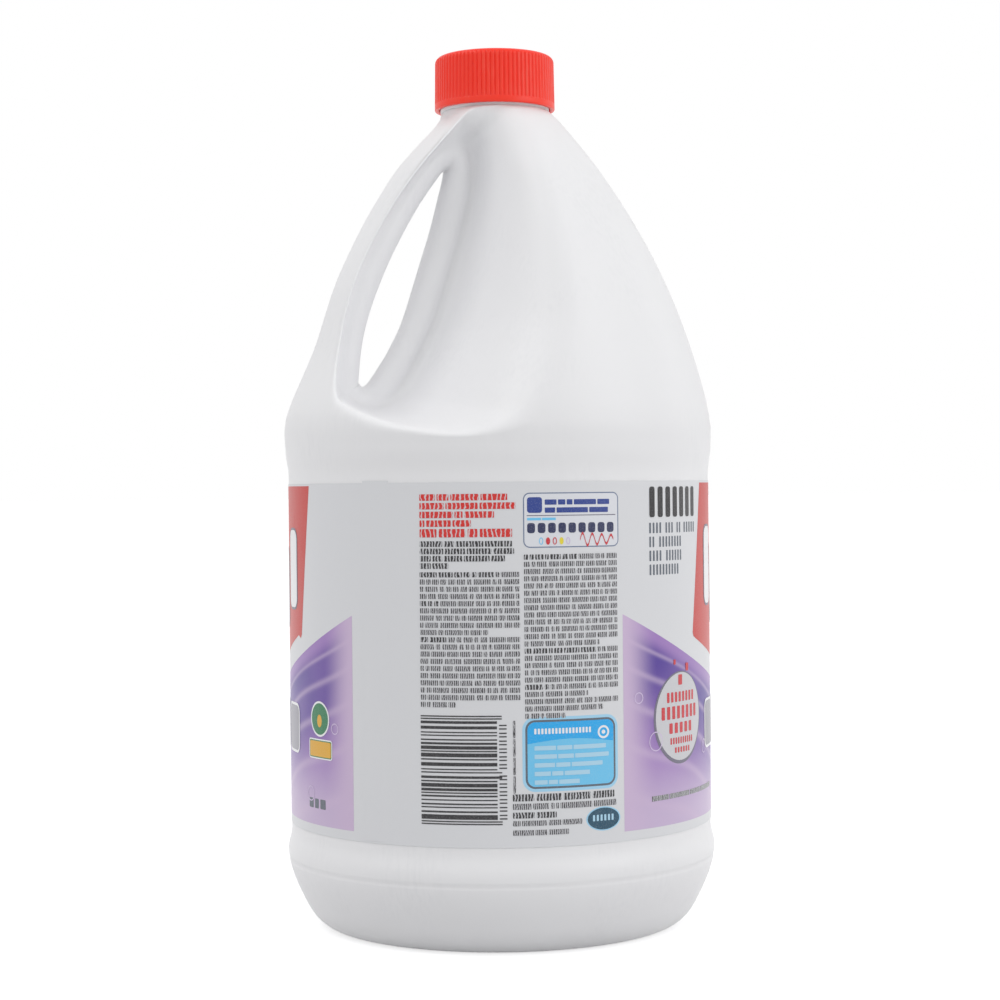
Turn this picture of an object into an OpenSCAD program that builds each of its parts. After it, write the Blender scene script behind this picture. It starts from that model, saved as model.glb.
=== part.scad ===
// Blow-moulded bleach bottle of two and a half litres with a hollow side handle,
// a ribbed screw cap with its sealing wad, and a wrap-around label.
// The base rests on z = 0, the bottle's axis is z, the handle points to -x,
// and the mould's parting plane is y = 0.

/* [Body] */
// Radius of the round panel that carries the label
panel_r = 65.7; // [60:0.1:72]
// Height at which the label panel begins
panel_z0 = 31; // [28:0.5:40]
// Height at which the label panel ends
panel_z1 = 139; // [120:0.5:142]
// How far the bulge above the panel stands proud of it
bulge_rise = 1.3; // [0.6:0.1:2.5]
// How far the heel bulge below the panel stands proud of it
heel_rise = 1.1; // [0.4:0.1:2.5]
// Height of the widest line of the heel bulge
heel_z = 24; // [18:0.5:27]
// Thickness of the moulded wall
wall = 0.9; // [0.7:0.05:1.4]

/* [Base] */
// Radius of the outer edge of the ring that the bottle stands on
foot_r = 52; // [46:0.5:56]
// Width of the ring that the bottle stands on
foot_w = 3; // [2:0.5:6]
// Height of the raised middle of the base
push_up = 8; // [4:0.5:12]
// Height of the fine ring line round the heel
heel_line_z = 21.4; // [18:0.2:23]
// Depth of the fine ring line
heel_line_depth = 0.25; // [0.1:0.05:0.4]

/* [Shoulder and handle] */
// Height at which the moulded shoulder begins
shoulder_z0 = 148; // [146:0.5:152]
// Height at which the shoulder meets the neck
shoulder_z1 = 254; // [242:0.1:264]
// How far the top of the shoulder stands out from the neck, under the cap's edge
shoulder_step = 0.4; // [0.2:0.1:1]
// Rounding of the body's edge along the finger hole
nose_r = 5.4; // [3.5:0.1:6]
// How far the back of the handle lies inside the round shoulder
handle_inset = 4; // [2:0.1:4.4]

/* [Neck] */
// Outer radius of the neck
neck_r = 15.9; // [15:0.1:16.5]
// Wall of the neck
neck_wall = 1.5; // [1.2:0.1:2]
// Height of the neck's lip above the shoulder
neck_h = 14.3; // [13:0.1:18]

/* [Cap] */
// Room for the thread between the neck and the cap's skirt
thread_room = 1.5; // [1.3:0.05:2.2]
// How much wider the cap is at its bottom edge
cap_flare = 0.2; // [0:0.05:0.4]
// Thickness of the cap's skirt under its grooves
cap_wall = 0.9; // [0.8:0.05:1]
// Thickness of the cap's top
cap_top = 1.5; // [1.2:0.1:2.5]
// Height of the cap's bottom edge above the top of the shoulder
cap_gap = 0.1; // [0:0.1:1]
// Number of grip ribs round the cap
rib_count = 72; // [48:4:90]
// Depth of the grooves between the ribs
rib_depth = 0.35; // [0.2:0.05:0.5]
// Height of the plain band at the cap's bottom edge
band_h = 1.8; // [1:0.1:3]
// Rounding of the cap's top edge
cap_round = 2; // [1:0.1:3]
// Thickness of the sealing wad in the cap
wad_t = 1; // [0.6:0.1:1.5]
// How far the wad stays clear of the skirt
wad_gap = 0.5; // [0.3:0.1:1]

/* [Label] */
// Thickness of the label
label_t = 0.12; // [0.08:0.01:0.2]
// How far the label's edges stay inside the panel
label_margin = 1.6; // [1:0.1:4]
// Angle from the handle to the label's overlapping edge
seam_angle = 29; // [0:1:90]
// Angle over which the label's ends overlap
overlap_angle = 8; // [4:1:12]
// How far the upper end of the label sits above the lower one
overlap_shift = 0.6; // [0:0.1:0.8]

/* [Hidden] */
$fn = 120;

// Working clearances
fit = 0.02;
seat = 0.03;

// Derived heights and radii
bulge_r = panel_r + bulge_rise;
heel_r = panel_r + heel_rise;
shoulder_h = shoulder_z1 - shoulder_z0;
shoulder_top_r = neck_r + shoulder_step;
lip_z = shoulder_z1 + neck_h;
neck_bore = neck_r - neck_wall;
cap_z0 = shoulder_z1 + cap_gap;
wad_z0 = lip_z;
cap_under = wad_z0 + wad_t;
cap_z1 = cap_under + cap_top;
cap_in_r = neck_r + thread_room;
cap_r = cap_in_r + cap_wall + rib_depth;

// Smooth curve through points of the form [position, value]
function slope(p, i) =
    i == 0 ? (p[1][1] - p[0][1]) / (p[1][0] - p[0][0]) :
    i == len(p) - 1 ? (p[i][1] - p[i - 1][1]) / (p[i][0] - p[i - 1][0]) :
    (p[i + 1][1] - p[i - 1][1]) / (p[i + 1][0] - p[i - 1][0]);
function span(p, s, i = 0) = i >= len(p) - 2 || s <= p[i + 1][0] ? i : span(p, s, i + 1);
function curve(p, s) =
    let (i = span(p, s), w = p[i + 1][0] - p[i][0], t = (s - p[i][0]) / w)
    p[i][1] * (1 + 2 * t) * (1 - t) * (1 - t) + slope(p, i) * w * t * (1 - t) * (1 - t)
    + p[i + 1][1] * t * t * (3 - 2 * t) - slope(p, i + 1) * w * t * t * (1 - t);

// Outline of the shoulder: share of its height, and share of the way out to the bulge
shoulder_curve = [[0, 0.996], [0.057, 1], [0.142, 0.969], [0.283, 0.885], [0.415, 0.787], [0.547, 0.664],
    [0.679, 0.514], [0.811, 0.336], [0.888, 0.215], [0.934, 0.137], [0.965, 0.081], [0.98, 0.049],
    [0.989, 0.03], [1, 0]];
function shoulder_r(z) = shoulder_top_r
    + (bulge_r - shoulder_top_r) * curve(shoulder_curve, (z - shoulder_z0) / shoulder_h);

// The handle's back lies a little inside the round shoulder between these shares of its height
inset_curve = [[0, 0], [0.085, 0], [0.117, 0.1], [0.206, 0.47], [0.295, 0.7], [0.384, 0.59], [0.472, 0.41],
    [0.562, 0.36], [0.651, 0.33], [0.74, 0.34], [0.829, 0.4], [0.888, 0.59], [0.925, 0.8], [0.956, 1],
    [0.974, 0.85], [0.988, 0.4], [1, 0]];
inset_side_angle = 60;
function inset(a, z) = handle_inset * max(0, curve(inset_curve, (z - shoulder_z0) / shoulder_h))
    * (a < inset_side_angle ? (1 + cos(180 * a / inset_side_angle)) / 2 : 0);
function skin(a, z) = let (r = shoulder_r(z) - inset(a, z)) [-r * cos(a), r * sin(a), z];

// Stations round the leaf-shaped finger scoop, from the lower handle root, under the hole,
// up the body and back down the handle: angle and height of the scoop's rim, then the
// finger hole's edge as a share of the shoulder's radius and height, and how far the crease is formed.
stations = [
    [17, 0.162, 0.737, 0.201, 0], [25, 0.106, 0.728, 0.188, 0], [41, 0.055, 0.716, 0.18, 0],
    [58, 0.033, 0.702, 0.18, 0.25], [71, 0.069, 0.685, 0.187, 0.6], [78, 0.142, 0.665, 0.204, 0.9],
    [82.5, 0.224, 0.635, 0.238, 1], [85.6, 0.299, 0.596, 0.288, 1], [88, 0.382, 0.548, 0.377, 1],
    [89.8, 0.52, 0.515, 0.523, 1], [89.9, 0.658, 0.496, 0.648, 1], [89.5, 0.785, 0.503, 0.748, 1],
    [87.5, 0.915, 0.512, 0.799, 1], [77, 0.98, 0.52, 0.813, 0.8], [56, 0.988, 0.532, 0.816, 0.4],
    [36, 0.965, 0.55, 0.811, 0], [25.5, 0.873, 0.578, 0.793, 0], [15.2, 0.726, 0.66, 0.701, 0],
    [10.3, 0.549, 0.728, 0.541, 0], [10.3, 0.339, 0.758, 0.354, 0]];
station_n = len(stations);
columns_per_station = 3;
columns = station_n * columns_per_station;

// Closed smooth curve through the stations
function station(i) = stations[(i + station_n) % station_n];
function at_column(k) =
    let (s = k / columns_per_station, i = floor(s), t = s - i,
         a = station(i - 1), b = station(i), c = station(i + 1), d = station(i + 2))
    (2 * b + (c - a) * t + (2 * a - 5 * b + 4 * c - d) * t * t + (3 * b - a - 3 * c + d) * t * t * t) / 2;
function height(share) = shoulder_z0 + share * shoulder_h;
function rim_point(k) = let (s = at_column(k)) skin(s[0], height(s[1]));
function hole_point(k) = let (s = at_column(k), z = height(s[3])) [-s[2] * shoulder_r(z), 0, z];

// Rows of the moulded surface: the rounded edge of the hole, the flare of the scoop,
// then the round shoulder out to the open ends and the parting line
nose_rows = 5;
flare_rows = 9;
round_rows = 8;
rim_row = nose_rows + flare_rows;
last_row = rim_row + round_rows;

// On the handle's side the flare rises flat from the rounded edge and eases a little before the rim.
// On the body's side the edge is a bar that turns back in, and behind its crease the wall rises steeply
// and rolls over to the rim.
flare_start_share = 0.45;
flare_end_share = 0.3;
flare_ease_share = 0.8;
crease_start_drop = 0.03;
crease_dip = 0.02;
wall_steepness = 0.65;
wall_roll = 0.18;
function bezier(t, a, b, c, d) = a * pow(1 - t, 3) + 3 * b * t * pow(1 - t, 2)
    + 3 * c * t * t * (1 - t) + d * pow(t, 3);
nose_share = 0.72;
nose_wrap = 0.4;
function scoop_point(k, j) =
    let (h = hole_point(k), g = rim_point(k), w = max(0, min(1, at_column(k)[4])),
         reach = norm([g[0] - h[0], g[2] - h[2]]),
         r = min(nose_r, nose_share * g[1]), turn = 90 * (1 + nose_wrap * w) * min(1, j / nose_rows),
         t = max(0, j - nose_rows) / flare_rows, edge_d = r * (1 - cos(turn)), edge_y = r * sin(turn),
         d = edge_d + (reach - edge_d) * bezier(t, 0, flare_start_share - crease_start_drop * w,
             1 - flare_end_share - wall_steepness * w, 1),
         y = edge_y + (g[1] - edge_y) * bezier(t, 0, -crease_dip * w,
             1 - flare_end_share * flare_ease_share + wall_roll * w, 1))
    [h[0] + (g[0] - h[0]) * d / reach, y, h[2] + (g[2] - h[2]) * d / reach];

// The open lower end, the back parting line, the open upper end and the handle's parting line
lower_n = 8 * columns_per_station;
side_n = 4 * columns_per_station;
upper_n = 4 * columns_per_station;
back_k = lower_n;
upper_k = back_k + side_n;
front_k = upper_k + upper_n;
seam_ease = 0.5;
function seam_share(t) = t - seam_ease * sin(360 * t) / (2 * PI);
function edge_at(k) =
    k <= back_k ? [180 * k / lower_n, shoulder_z0] :
    k < upper_k ? [180, shoulder_z0 + shoulder_h * seam_share((k - back_k) / side_n)] :
    k <= front_k ? [180 * (front_k - k) / upper_n, shoulder_z1] :
    [0, shoulder_z1 - shoulder_h * seam_share((k - front_k) / side_n)];
function round_point(k, j) =
    let (s = at_column(k), e = edge_at(k), f = (j - rim_row) / round_rows)
    skin(s[0] + (e[0] - s[0]) * f, height(s[1]) + (e[1] - height(s[1])) * f);
function on_lower(k) = k <= back_k;
function on_upper(k) = k >= upper_k && k <= front_k;
function on_ring(k, j) = j == last_row && (on_lower(k) || on_upper(k));
function on_seam(k, j) = j == 0 || (j == last_row && (k == 0 || k >= front_k || (k >= back_k && k <= upper_k)));

// The facets' corners at the two open ends reach just into the walls of the round body and neck
function ring_point(k, r) =
    let (e = edge_at(k), y = on_seam(k, last_row) ? 0 : r * sin(e[0]))
    [-r * cos(e[0]), y, e[1] + (on_lower(k) ? -seat : seat)];
function outer(k, j) =
    on_ring(k, j) ? ring_point(k, shoulder_r(edge_at(k)[1]) - 2 * seat) :
    let (p = j <= rim_row ? scoop_point(k, j) : round_point(k, j))
    on_seam(k, j) ? [p[0], 0, p[2]] : p;

// Thickness measured level, where the shoulder's wall leans
slope_step = 0.01;
function lean(z0, z1) = (shoulder_r(z1) - shoulder_r(z0)) / (z1 - z0);
wall_lower = wall * sqrt(1 + pow(lean(shoulder_z0, shoulder_z0 + slope_step), 2));
wall_upper = wall * sqrt(1 + pow(lean(shoulder_z1 - slope_step, shoulder_z1), 2));
function inner_ring_r(k) = on_lower(k)
    ? (shoulder_r(shoulder_z0) - wall_lower + seat) / cos(90 / lower_n)
    : (shoulder_r(shoulder_z1) - wall_upper + seat) / cos(90 / upper_n);

// The inner skin follows the outer one along its normals
function unit(v) = v / norm(v);
function wrap(k) = (k + columns) % columns;
function skin_normal(p, k, j) =
    let (along = p[wrap(k + 1)][j] - p[wrap(k - 1)][j],
         across = on_seam(k, j) ? [0, j == 0 ? 1 : -1, 0] : p[k][j + 1] - p[k][j - 1])
    unit(cross(across, along));
function inner(p, k, j) =
    on_ring(k, j) ? ring_point(k, inner_ring_r(k)) :
    let (q = p[k][j] + wall * skin_normal(p, k, j))
    on_seam(k, j) ? [q[0], 0, q[2]] : q;

// Moulded shoulder with its hollow handle, open to the body below and to the neck above
module shoulder() {
    out = [for (k = [0:columns - 1]) [for (j = [0:last_row]) outer(k, j)]];
    in = [for (k = [0:columns - 1]) [for (j = [0:last_row]) inner(out, k, j)]];
    rows = last_row + 1;
    sheet = columns * rows;
    points = [for (skin_points = [out, in]) for (side = [1, -1]) for (column = skin_points) for (p = column)
        [p[0], side * p[1], p[2]]];
    function id(layer, side, k, j) =
        let (c = wrap(k)) (2 * layer + (on_seam(c, j) ? 0 : side)) * sheet + c * rows + j;
    function facing(tri, flip) = flip ? [tri[2], tri[1], tri[0]] : tri;
    function solid_tri(tri) = tri[0] != tri[1] && tri[1] != tri[2] && tri[0] != tri[2];
    walls = [for (layer = [0, 1]) for (side = [0, 1]) for (k = [0:columns - 1]) for (j = [0:last_row - 1])
        let (a = id(layer, side, k, j), b = id(layer, side, k + 1, j),
             c = id(layer, side, k + 1, j + 1), d = id(layer, side, k, j + 1))
        for (tri = [[a, b, c], [a, c, d]]) if (solid_tri(tri)) facing(tri, layer == side)];
    rings = [for (side = [0, 1]) for (k = [0:columns - 1])
        if ((on_lower(k) && on_lower(k + 1)) || (on_upper(k) && on_upper(k + 1)))
        let (a = id(0, side, k, last_row), b = id(0, side, k + 1, last_row),
             c = id(1, side, k + 1, last_row), d = id(1, side, k, last_row))
        for (tri = [[a, b, c], [a, c, d]]) facing(tri, side == 0)];
    polyhedron(points = points, faces = concat(walls, rings), convexity = 8);
}

// Outline of the lower body, seen as [radius, height]
knee_out_share = 0.63;
knee_up_share = 0.31;
knee_slope_ratio = 0.5;
knee = [foot_r + knee_out_share * (heel_r - foot_r), knee_up_share * heel_z];
knee_rise = heel_z - knee[1];
blend_rows = 6;
pull_share = 0.4;
heel_pull_share = 0.33;
dome_flat_share = 0.6;
dome_side_share = 0.9;
function arc_path(a, b, c, d) = [for (i = [0:blend_rows - 1]) bezier(i / blend_rows, a, b, c, d)];
dome_r = foot_r - foot_w;
underside = arc_path([0, push_up], [dome_flat_share * dome_r, push_up],
    [dome_side_share * dome_r, dome_flat_share * push_up], [dome_r, 0]);
corner = arc_path([foot_r, 0], [foot_r + pull_share * (knee[0] - foot_r), 0],
    knee - (1 - pull_share) * knee[1] * [knee_slope_ratio, 1], knee);
heel = arc_path(knee, knee + heel_pull_share * knee_rise * [knee_slope_ratio, 1],
    [heel_r, heel_z - heel_pull_share * knee_rise], [heel_r, heel_z]);
heel_blend = arc_path([heel_r, heel_z], [heel_r, heel_z + pull_share * (panel_z0 - heel_z)],
    [panel_r, panel_z0 - pull_share * (panel_z0 - heel_z)], [panel_r, panel_z0]);
shoulder_start = shoulder_r(shoulder_z0);
bulge_h = shoulder_z0 - panel_z1;
bulge_lean = lean(shoulder_z0, shoulder_z0 + slope_step);
bulge_blend = arc_path([panel_r, panel_z1], [panel_r, panel_z1 + pull_share * bulge_h],
    [shoulder_start, shoulder_z0] - pull_share * bulge_h * [bulge_lean, 1], [shoulder_start, shoulder_z0]);
body_line = concat(underside, [[dome_r, 0]], corner, heel, heel_blend, [[panel_r, panel_z0]],
    bulge_blend, [[shoulder_start, shoulder_z0]]);

// The inside of the wall, square to the outline
function inward(p, i) =
    let (d = unit(p[min(i + 1, len(p) - 1)] - p[max(i - 1, 0)])) [-d[1], d[0]];
function wall_point(p, i) = i == 0 ? p[0] + [0, wall]
    : i == len(p) - 1 ? [p[i][0] - wall_lower, p[i][1]] : p[i] + wall * inward(p, i);
function reversed(p) = [for (i = [len(p) - 1:-1:0]) p[i]];

module lower_body() {
    inside = [for (i = [0:len(body_line) - 1]) wall_point(body_line, i)];
    difference() {
        rotate_extrude() polygon(concat(body_line, reversed(inside)));
        heel_line();
    }
}

// Fine ring line where the mould's base insert meets its halves
function radius_at(path, z, i = 1) = i >= len(path) - 1 || z <= path[i][1]
    ? path[i - 1][0] + (path[i][0] - path[i - 1][0]) * (z - path[i - 1][1]) / (path[i][1] - path[i - 1][1])
    : radius_at(path, z, i + 1);
line_flare_ratio = 3;
module heel_line() {
    bottom_r = radius_at(concat(heel, [[heel_r, heel_z]]), heel_line_z) - heel_line_depth;
    flare = line_flare_ratio * heel_line_depth;
    rotate_extrude()
        translate([bottom_r, heel_line_z])
            polygon([[0, 0], [flare, -flare], [flare, flare]]);
}

// Neck with a rounded lip, open from the shoulder to the mouth
neck_root = 2.5;
lip_round = 0.4;
module neck() {
    root_z = shoulder_z1 + neck_root;
    root = [shoulder_top_r, shoulder_z1];
    inner_root = root - [wall_upper, 0];
    ease_z = root_z - pull_share * neck_root;
    outside = arc_path(root, root - pull_share * [shoulder_step, 0], [neck_r, ease_z], [neck_r, root_z]);
    inside = arc_path(inner_root, inner_root, [neck_bore, ease_z], [neck_bore, root_z]);
    rotate_extrude()
        polygon(concat(outside,
            [[neck_r, root_z], [neck_r, lip_z - lip_round], [neck_r - lip_round, lip_z],
             [neck_bore + lip_round, lip_z], [neck_bore, lip_z - lip_round], [neck_bore, root_z]],
            reversed(inside)));
}

module bottle() {
    color("whitesmoke") {
        lower_body();
        shoulder();
        neck();
    }
}

// Rounded and slightly flared outline of the cap, filled to its axis
corner_steps = 6;
module cap_envelope() {
    rotate_extrude()
        polygon(concat([[0, cap_z0], [cap_r + cap_flare, cap_z0]],
            [for (i = [0:corner_steps]) let (turn = 90 * i / corner_steps)
                [cap_r - cap_round + cap_round * cos(turn), cap_z1 - cap_round + cap_round * sin(turn)]],
            [[0, cap_z1]]));
}

// Grip with its grooves, wider than the cap, whose outline trims the ribs
groove_share = 0.22;
groove_side_share = 0.2;
trim = 1;
module grip_outline() {
    pitch = 360 / rib_count;
    root_r = cap_r - rib_depth;
    tip_r = root_r + trim;
    corners = [[0, root_r], [groove_share, root_r], [groove_share + groove_side_share, tip_r],
        [1 - groove_side_share, tip_r]];
    polygon([for (i = [0:rib_count - 1]) for (corner = corners)
        let (a = pitch * (i + corner[0])) [corner[1] * cos(a), corner[1] * sin(a)]]);
}

module cap() {
    color("orangered")
        difference() {
            intersection() {
                cap_envelope();
                union() {
                    translate([0, 0, cap_z0 - trim]) cylinder(r = cap_r + cap_flare + trim, h = band_h + trim);
                    translate([0, 0, cap_z0]) linear_extrude(cap_z1 - cap_z0 + trim) grip_outline();
                }
            }
            translate([0, 0, cap_z0 - trim]) cylinder(r = cap_in_r, h = cap_under - cap_z0 + trim);
        }
}

// Foam wad that the cap presses on the lip
module cap_liner() {
    color("white")
        translate([0, 0, wad_z0]) cylinder(r = cap_in_r - wad_gap, h = wad_t);
}

// Label wrapped round the panel, its upper end lying on its lower one
module label() {
    label_r = panel_r + fit;
    label_z0 = panel_z0 + label_margin;
    label_h = panel_z1 - panel_z0 - 2 * label_margin;
    color("lavender") {
        rotate_extrude() translate([label_r, label_z0]) square([label_t, label_h]);
        rotate([0, 0, 180 + seam_angle])
            rotate_extrude(angle = overlap_angle)
                translate([label_r + label_t / 2, label_z0 + overlap_shift]) square([1.5 * label_t, label_h]);
    }
}

bottle();
cap();
cap_liner();
label();
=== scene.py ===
"""Bleach bottle with a hollow side handle, a ribbed screw cap and a wrap-around label.

Lengths in the classes are millimetres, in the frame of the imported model; every mesh is
scaled to metres when it is placed. The bottle's axis is z and the handle points to -x.
"""

import logging
import math
from collections.abc import Callable, Sequence
from dataclasses import dataclass, field
from enum import Enum

import bmesh
import bpy
from mathutils import Matrix, Vector


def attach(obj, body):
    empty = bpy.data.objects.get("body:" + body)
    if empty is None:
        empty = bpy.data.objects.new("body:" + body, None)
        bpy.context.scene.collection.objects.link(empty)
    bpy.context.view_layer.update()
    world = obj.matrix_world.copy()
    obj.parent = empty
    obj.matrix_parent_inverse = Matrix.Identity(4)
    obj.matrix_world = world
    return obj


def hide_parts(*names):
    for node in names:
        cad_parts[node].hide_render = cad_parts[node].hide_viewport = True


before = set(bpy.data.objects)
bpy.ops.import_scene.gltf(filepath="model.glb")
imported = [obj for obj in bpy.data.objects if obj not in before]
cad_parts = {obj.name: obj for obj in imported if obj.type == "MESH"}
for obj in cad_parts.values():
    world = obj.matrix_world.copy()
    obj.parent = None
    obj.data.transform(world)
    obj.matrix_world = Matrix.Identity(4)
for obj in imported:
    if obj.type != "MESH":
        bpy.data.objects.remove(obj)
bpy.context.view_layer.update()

LOG = logging.getLogger("bottle")
MM = 0.001
WELD = 0.002
THREAD_PITCH = 4.2333
THREAD_Z = 258.4
PANEL_LEFTS = (32.9, 175.9)
PANEL_WIDE = 143.0
CREST_TOP = 98.6
CREST_DIP = 25.0
SERIES_FACTOR, SERIES_STEP, SERIES_SPAN = 1103515245, 12345, 2147483648
Point = tuple[float, float]
Curve = Sequence[Point]
Color = tuple[float, float, float, float]
Socket = bpy.types.NodeSocket


# Small helpers for shapes

def slope(points: Curve, i: int) -> float:
    """Slope of a smooth curve at one of its points."""
    low, high = max(i - 1, 0), min(i + 1, len(points) - 1)
    return (points[high][1] - points[low][1]) / (points[high][0] - points[low][0])


def curve(points: Curve, s: float) -> float:
    """Value of the smooth curve through the points.

    Args:
        points: Positions and values.
        s: Position to read.

    Returns:
        The interpolated value.
    """
    i = 0
    while i < len(points) - 2 and s > points[i + 1][0]:
        i += 1
    (x0, y0), (x1, y1) = points[i], points[i + 1]
    w = x1 - x0
    t = (s - x0) / w
    return (y0 * (1 + 2 * t) * (1 - t) ** 2 + slope(points, i) * w * t * (1 - t) ** 2
            + y1 * t * t * (3 - 2 * t) - slope(points, i + 1) * w * t * t * (1 - t))


def bezier(t: float, a: float, b: float, c: float, d: float) -> float:
    """Value of a cubic with the four control values at share t."""
    return a * (1 - t) ** 3 + 3 * b * t * (1 - t) ** 2 + 3 * c * t * t * (1 - t) + d * t ** 3


def ease(low: float, high: float, x: float) -> float:
    """Smooth step from 0 at low to 1 at high."""
    t = min(1.0, max(0.0, (x - low) / (high - low)))
    return t * t * (3 - 2 * t)


def arc(rows: int, a: Point, b: Point, c: Point, d: Point) -> list[Point]:
    """Points along a cubic outline, as radius and height, without its last one."""
    return [tuple(bezier(i / rows, a[n], b[n], c[n], d[n]) for n in (0, 1)) for i in range(rows)]


def polar(r: float, turn: float, z: float) -> Vector:
    """Point at a radius, an angle in radians and a height."""
    return Vector((r * math.cos(turn), r * math.sin(turn), z))


def set_radius(vert: bmesh.types.BMVert, r: float) -> None:
    """Moves a point straight in or out to a radius."""
    share = r / math.hypot(vert.co.x, vert.co.y)
    vert.co.x, vert.co.y = vert.co.x * share, vert.co.y * share


def lathe(bm: bmesh.types.BMesh, outline: Sequence[Point], steps: int, start: float = 180.0) -> None:
    """Spins an outline a full turn round the z axis.

    Args:
        bm: Mesh that receives the shape.
        outline: Points as radius and height.
        steps: Number of steps in the turn.
        start: Angle of the first column in degrees.
    """
    part = bmesh.new()
    line = [part.verts.new(polar(r, math.radians(start), z)) for r, z in outline]
    edges = [part.edges.new(pair) for pair in zip(line, line[1:])]
    bmesh.ops.spin(part, geom=line + edges, cent=(0, 0, 0), axis=(0, 0, 1), angle=2 * math.pi,
                   steps=steps, use_merge=True, use_duplicate=False)
    join(bm, part)


def swept(section: Sequence[Point], start: float, angle: float, steps: int, rise: float = 0.0) -> bmesh.types.BMesh:
    """Sweeps a closed section part of the way round the z axis.

    Args:
        section: Corners as radius and height.
        start: Angle where it begins in degrees.
        angle: Angle that it covers in degrees.
        steps: Number of steps.
        rise: How far it rises on the way.

    Returns:
        The swept part.
    """
    part = bmesh.new()
    face = part.faces.new([part.verts.new(polar(r, math.radians(start), z)) for r, z in section])
    bmesh.ops.spin(part, geom=[face], cent=(0, 0, 0), axis=(0, 0, 1), dvec=(0, 0, rise / steps),
                   angle=math.radians(angle), steps=steps, use_duplicate=False)
    return part


def join(bm: bmesh.types.BMesh, part: bmesh.types.BMesh, outwards: bool = False) -> None:
    """Adds a finished part to a mesh and frees it.

    Args:
        bm: Mesh that receives the part.
        part: The part.
        outwards: Whether its faces are first turned outwards.
    """
    if outwards:
        bmesh.ops.recalc_face_normals(part, faces=part.faces)
    carrier = bpy.data.meshes.new("carrier")
    part.to_mesh(carrier)
    part.free()
    bm.from_mesh(carrier)
    bpy.data.meshes.remove(carrier)


def tidy_shell(bm: bmesh.types.BMesh) -> None:
    """Merges doubles, drops flat faces and turns all faces outwards.

    Args:
        bm: Mesh to tidy.
    """
    bmesh.ops.remove_doubles(bm, verts=bm.verts, dist=WELD)
    bmesh.ops.dissolve_degenerate(bm, edges=bm.edges, dist=WELD / 4)
    bmesh.ops.recalc_face_normals(bm, faces=bm.faces)


def put(name: str, data: bpy.types.ID) -> bpy.types.Object:
    """Adds an object with its data to the scene.

    Args:
        name: Its name.
        data: Its mesh, lamp or camera.

    Returns:
        The object.
    """
    made = bpy.data.objects.new(name, data)
    bpy.context.scene.collection.objects.link(made)
    return made


def place(bm: bmesh.types.BMesh, name: str, material: bpy.types.Material, body: str,
          smooth: bool = True) -> bpy.types.Object:
    """Turns a finished bmesh into an object of the scene, in metres, riding on its body.

    Args:
        bm: Finished mesh in millimetres; it is freed.
        name: Name of the piece.
        material: Its finish.
        body: CAD body that it moves with.
        smooth: Whether its faces are shaded smooth.

    Returns:
        The new object.
    """
    bmesh.ops.scale(bm, vec=(MM, MM, MM), verts=bm.verts)
    for face in bm.faces:
        face.smooth = smooth
    mesh = bpy.data.meshes.new(name)
    bm.to_mesh(mesh)
    bm.free()
    piece = put(name, mesh)
    mesh.materials.append(material)
    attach(piece, body)
    LOG.info("%s: %d faces on %s", name, len(mesh.polygons), body)
    return piece


# Finishes

def rgb(*values: float) -> Color:
    """Colour for a shader socket.

    Args:
        *values: Red, green and blue as screen values between 0 and 255.

    Returns:
        Linear colour with full alpha.
    """
    shares = [value / 255 for value in values]
    red, green, blue = (s / 12.92 if s <= 0.04045 else ((s + 0.055) / 1.055) ** 2.4 for s in shares)
    return red, green, blue, 1.0


class Effect(Enum):
    """Shared effects, each a node group that is built once."""

    GRAIN = "moulded_grain"
    HANDLING = "handling_marks"
    PRESS = "press_print"


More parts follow.
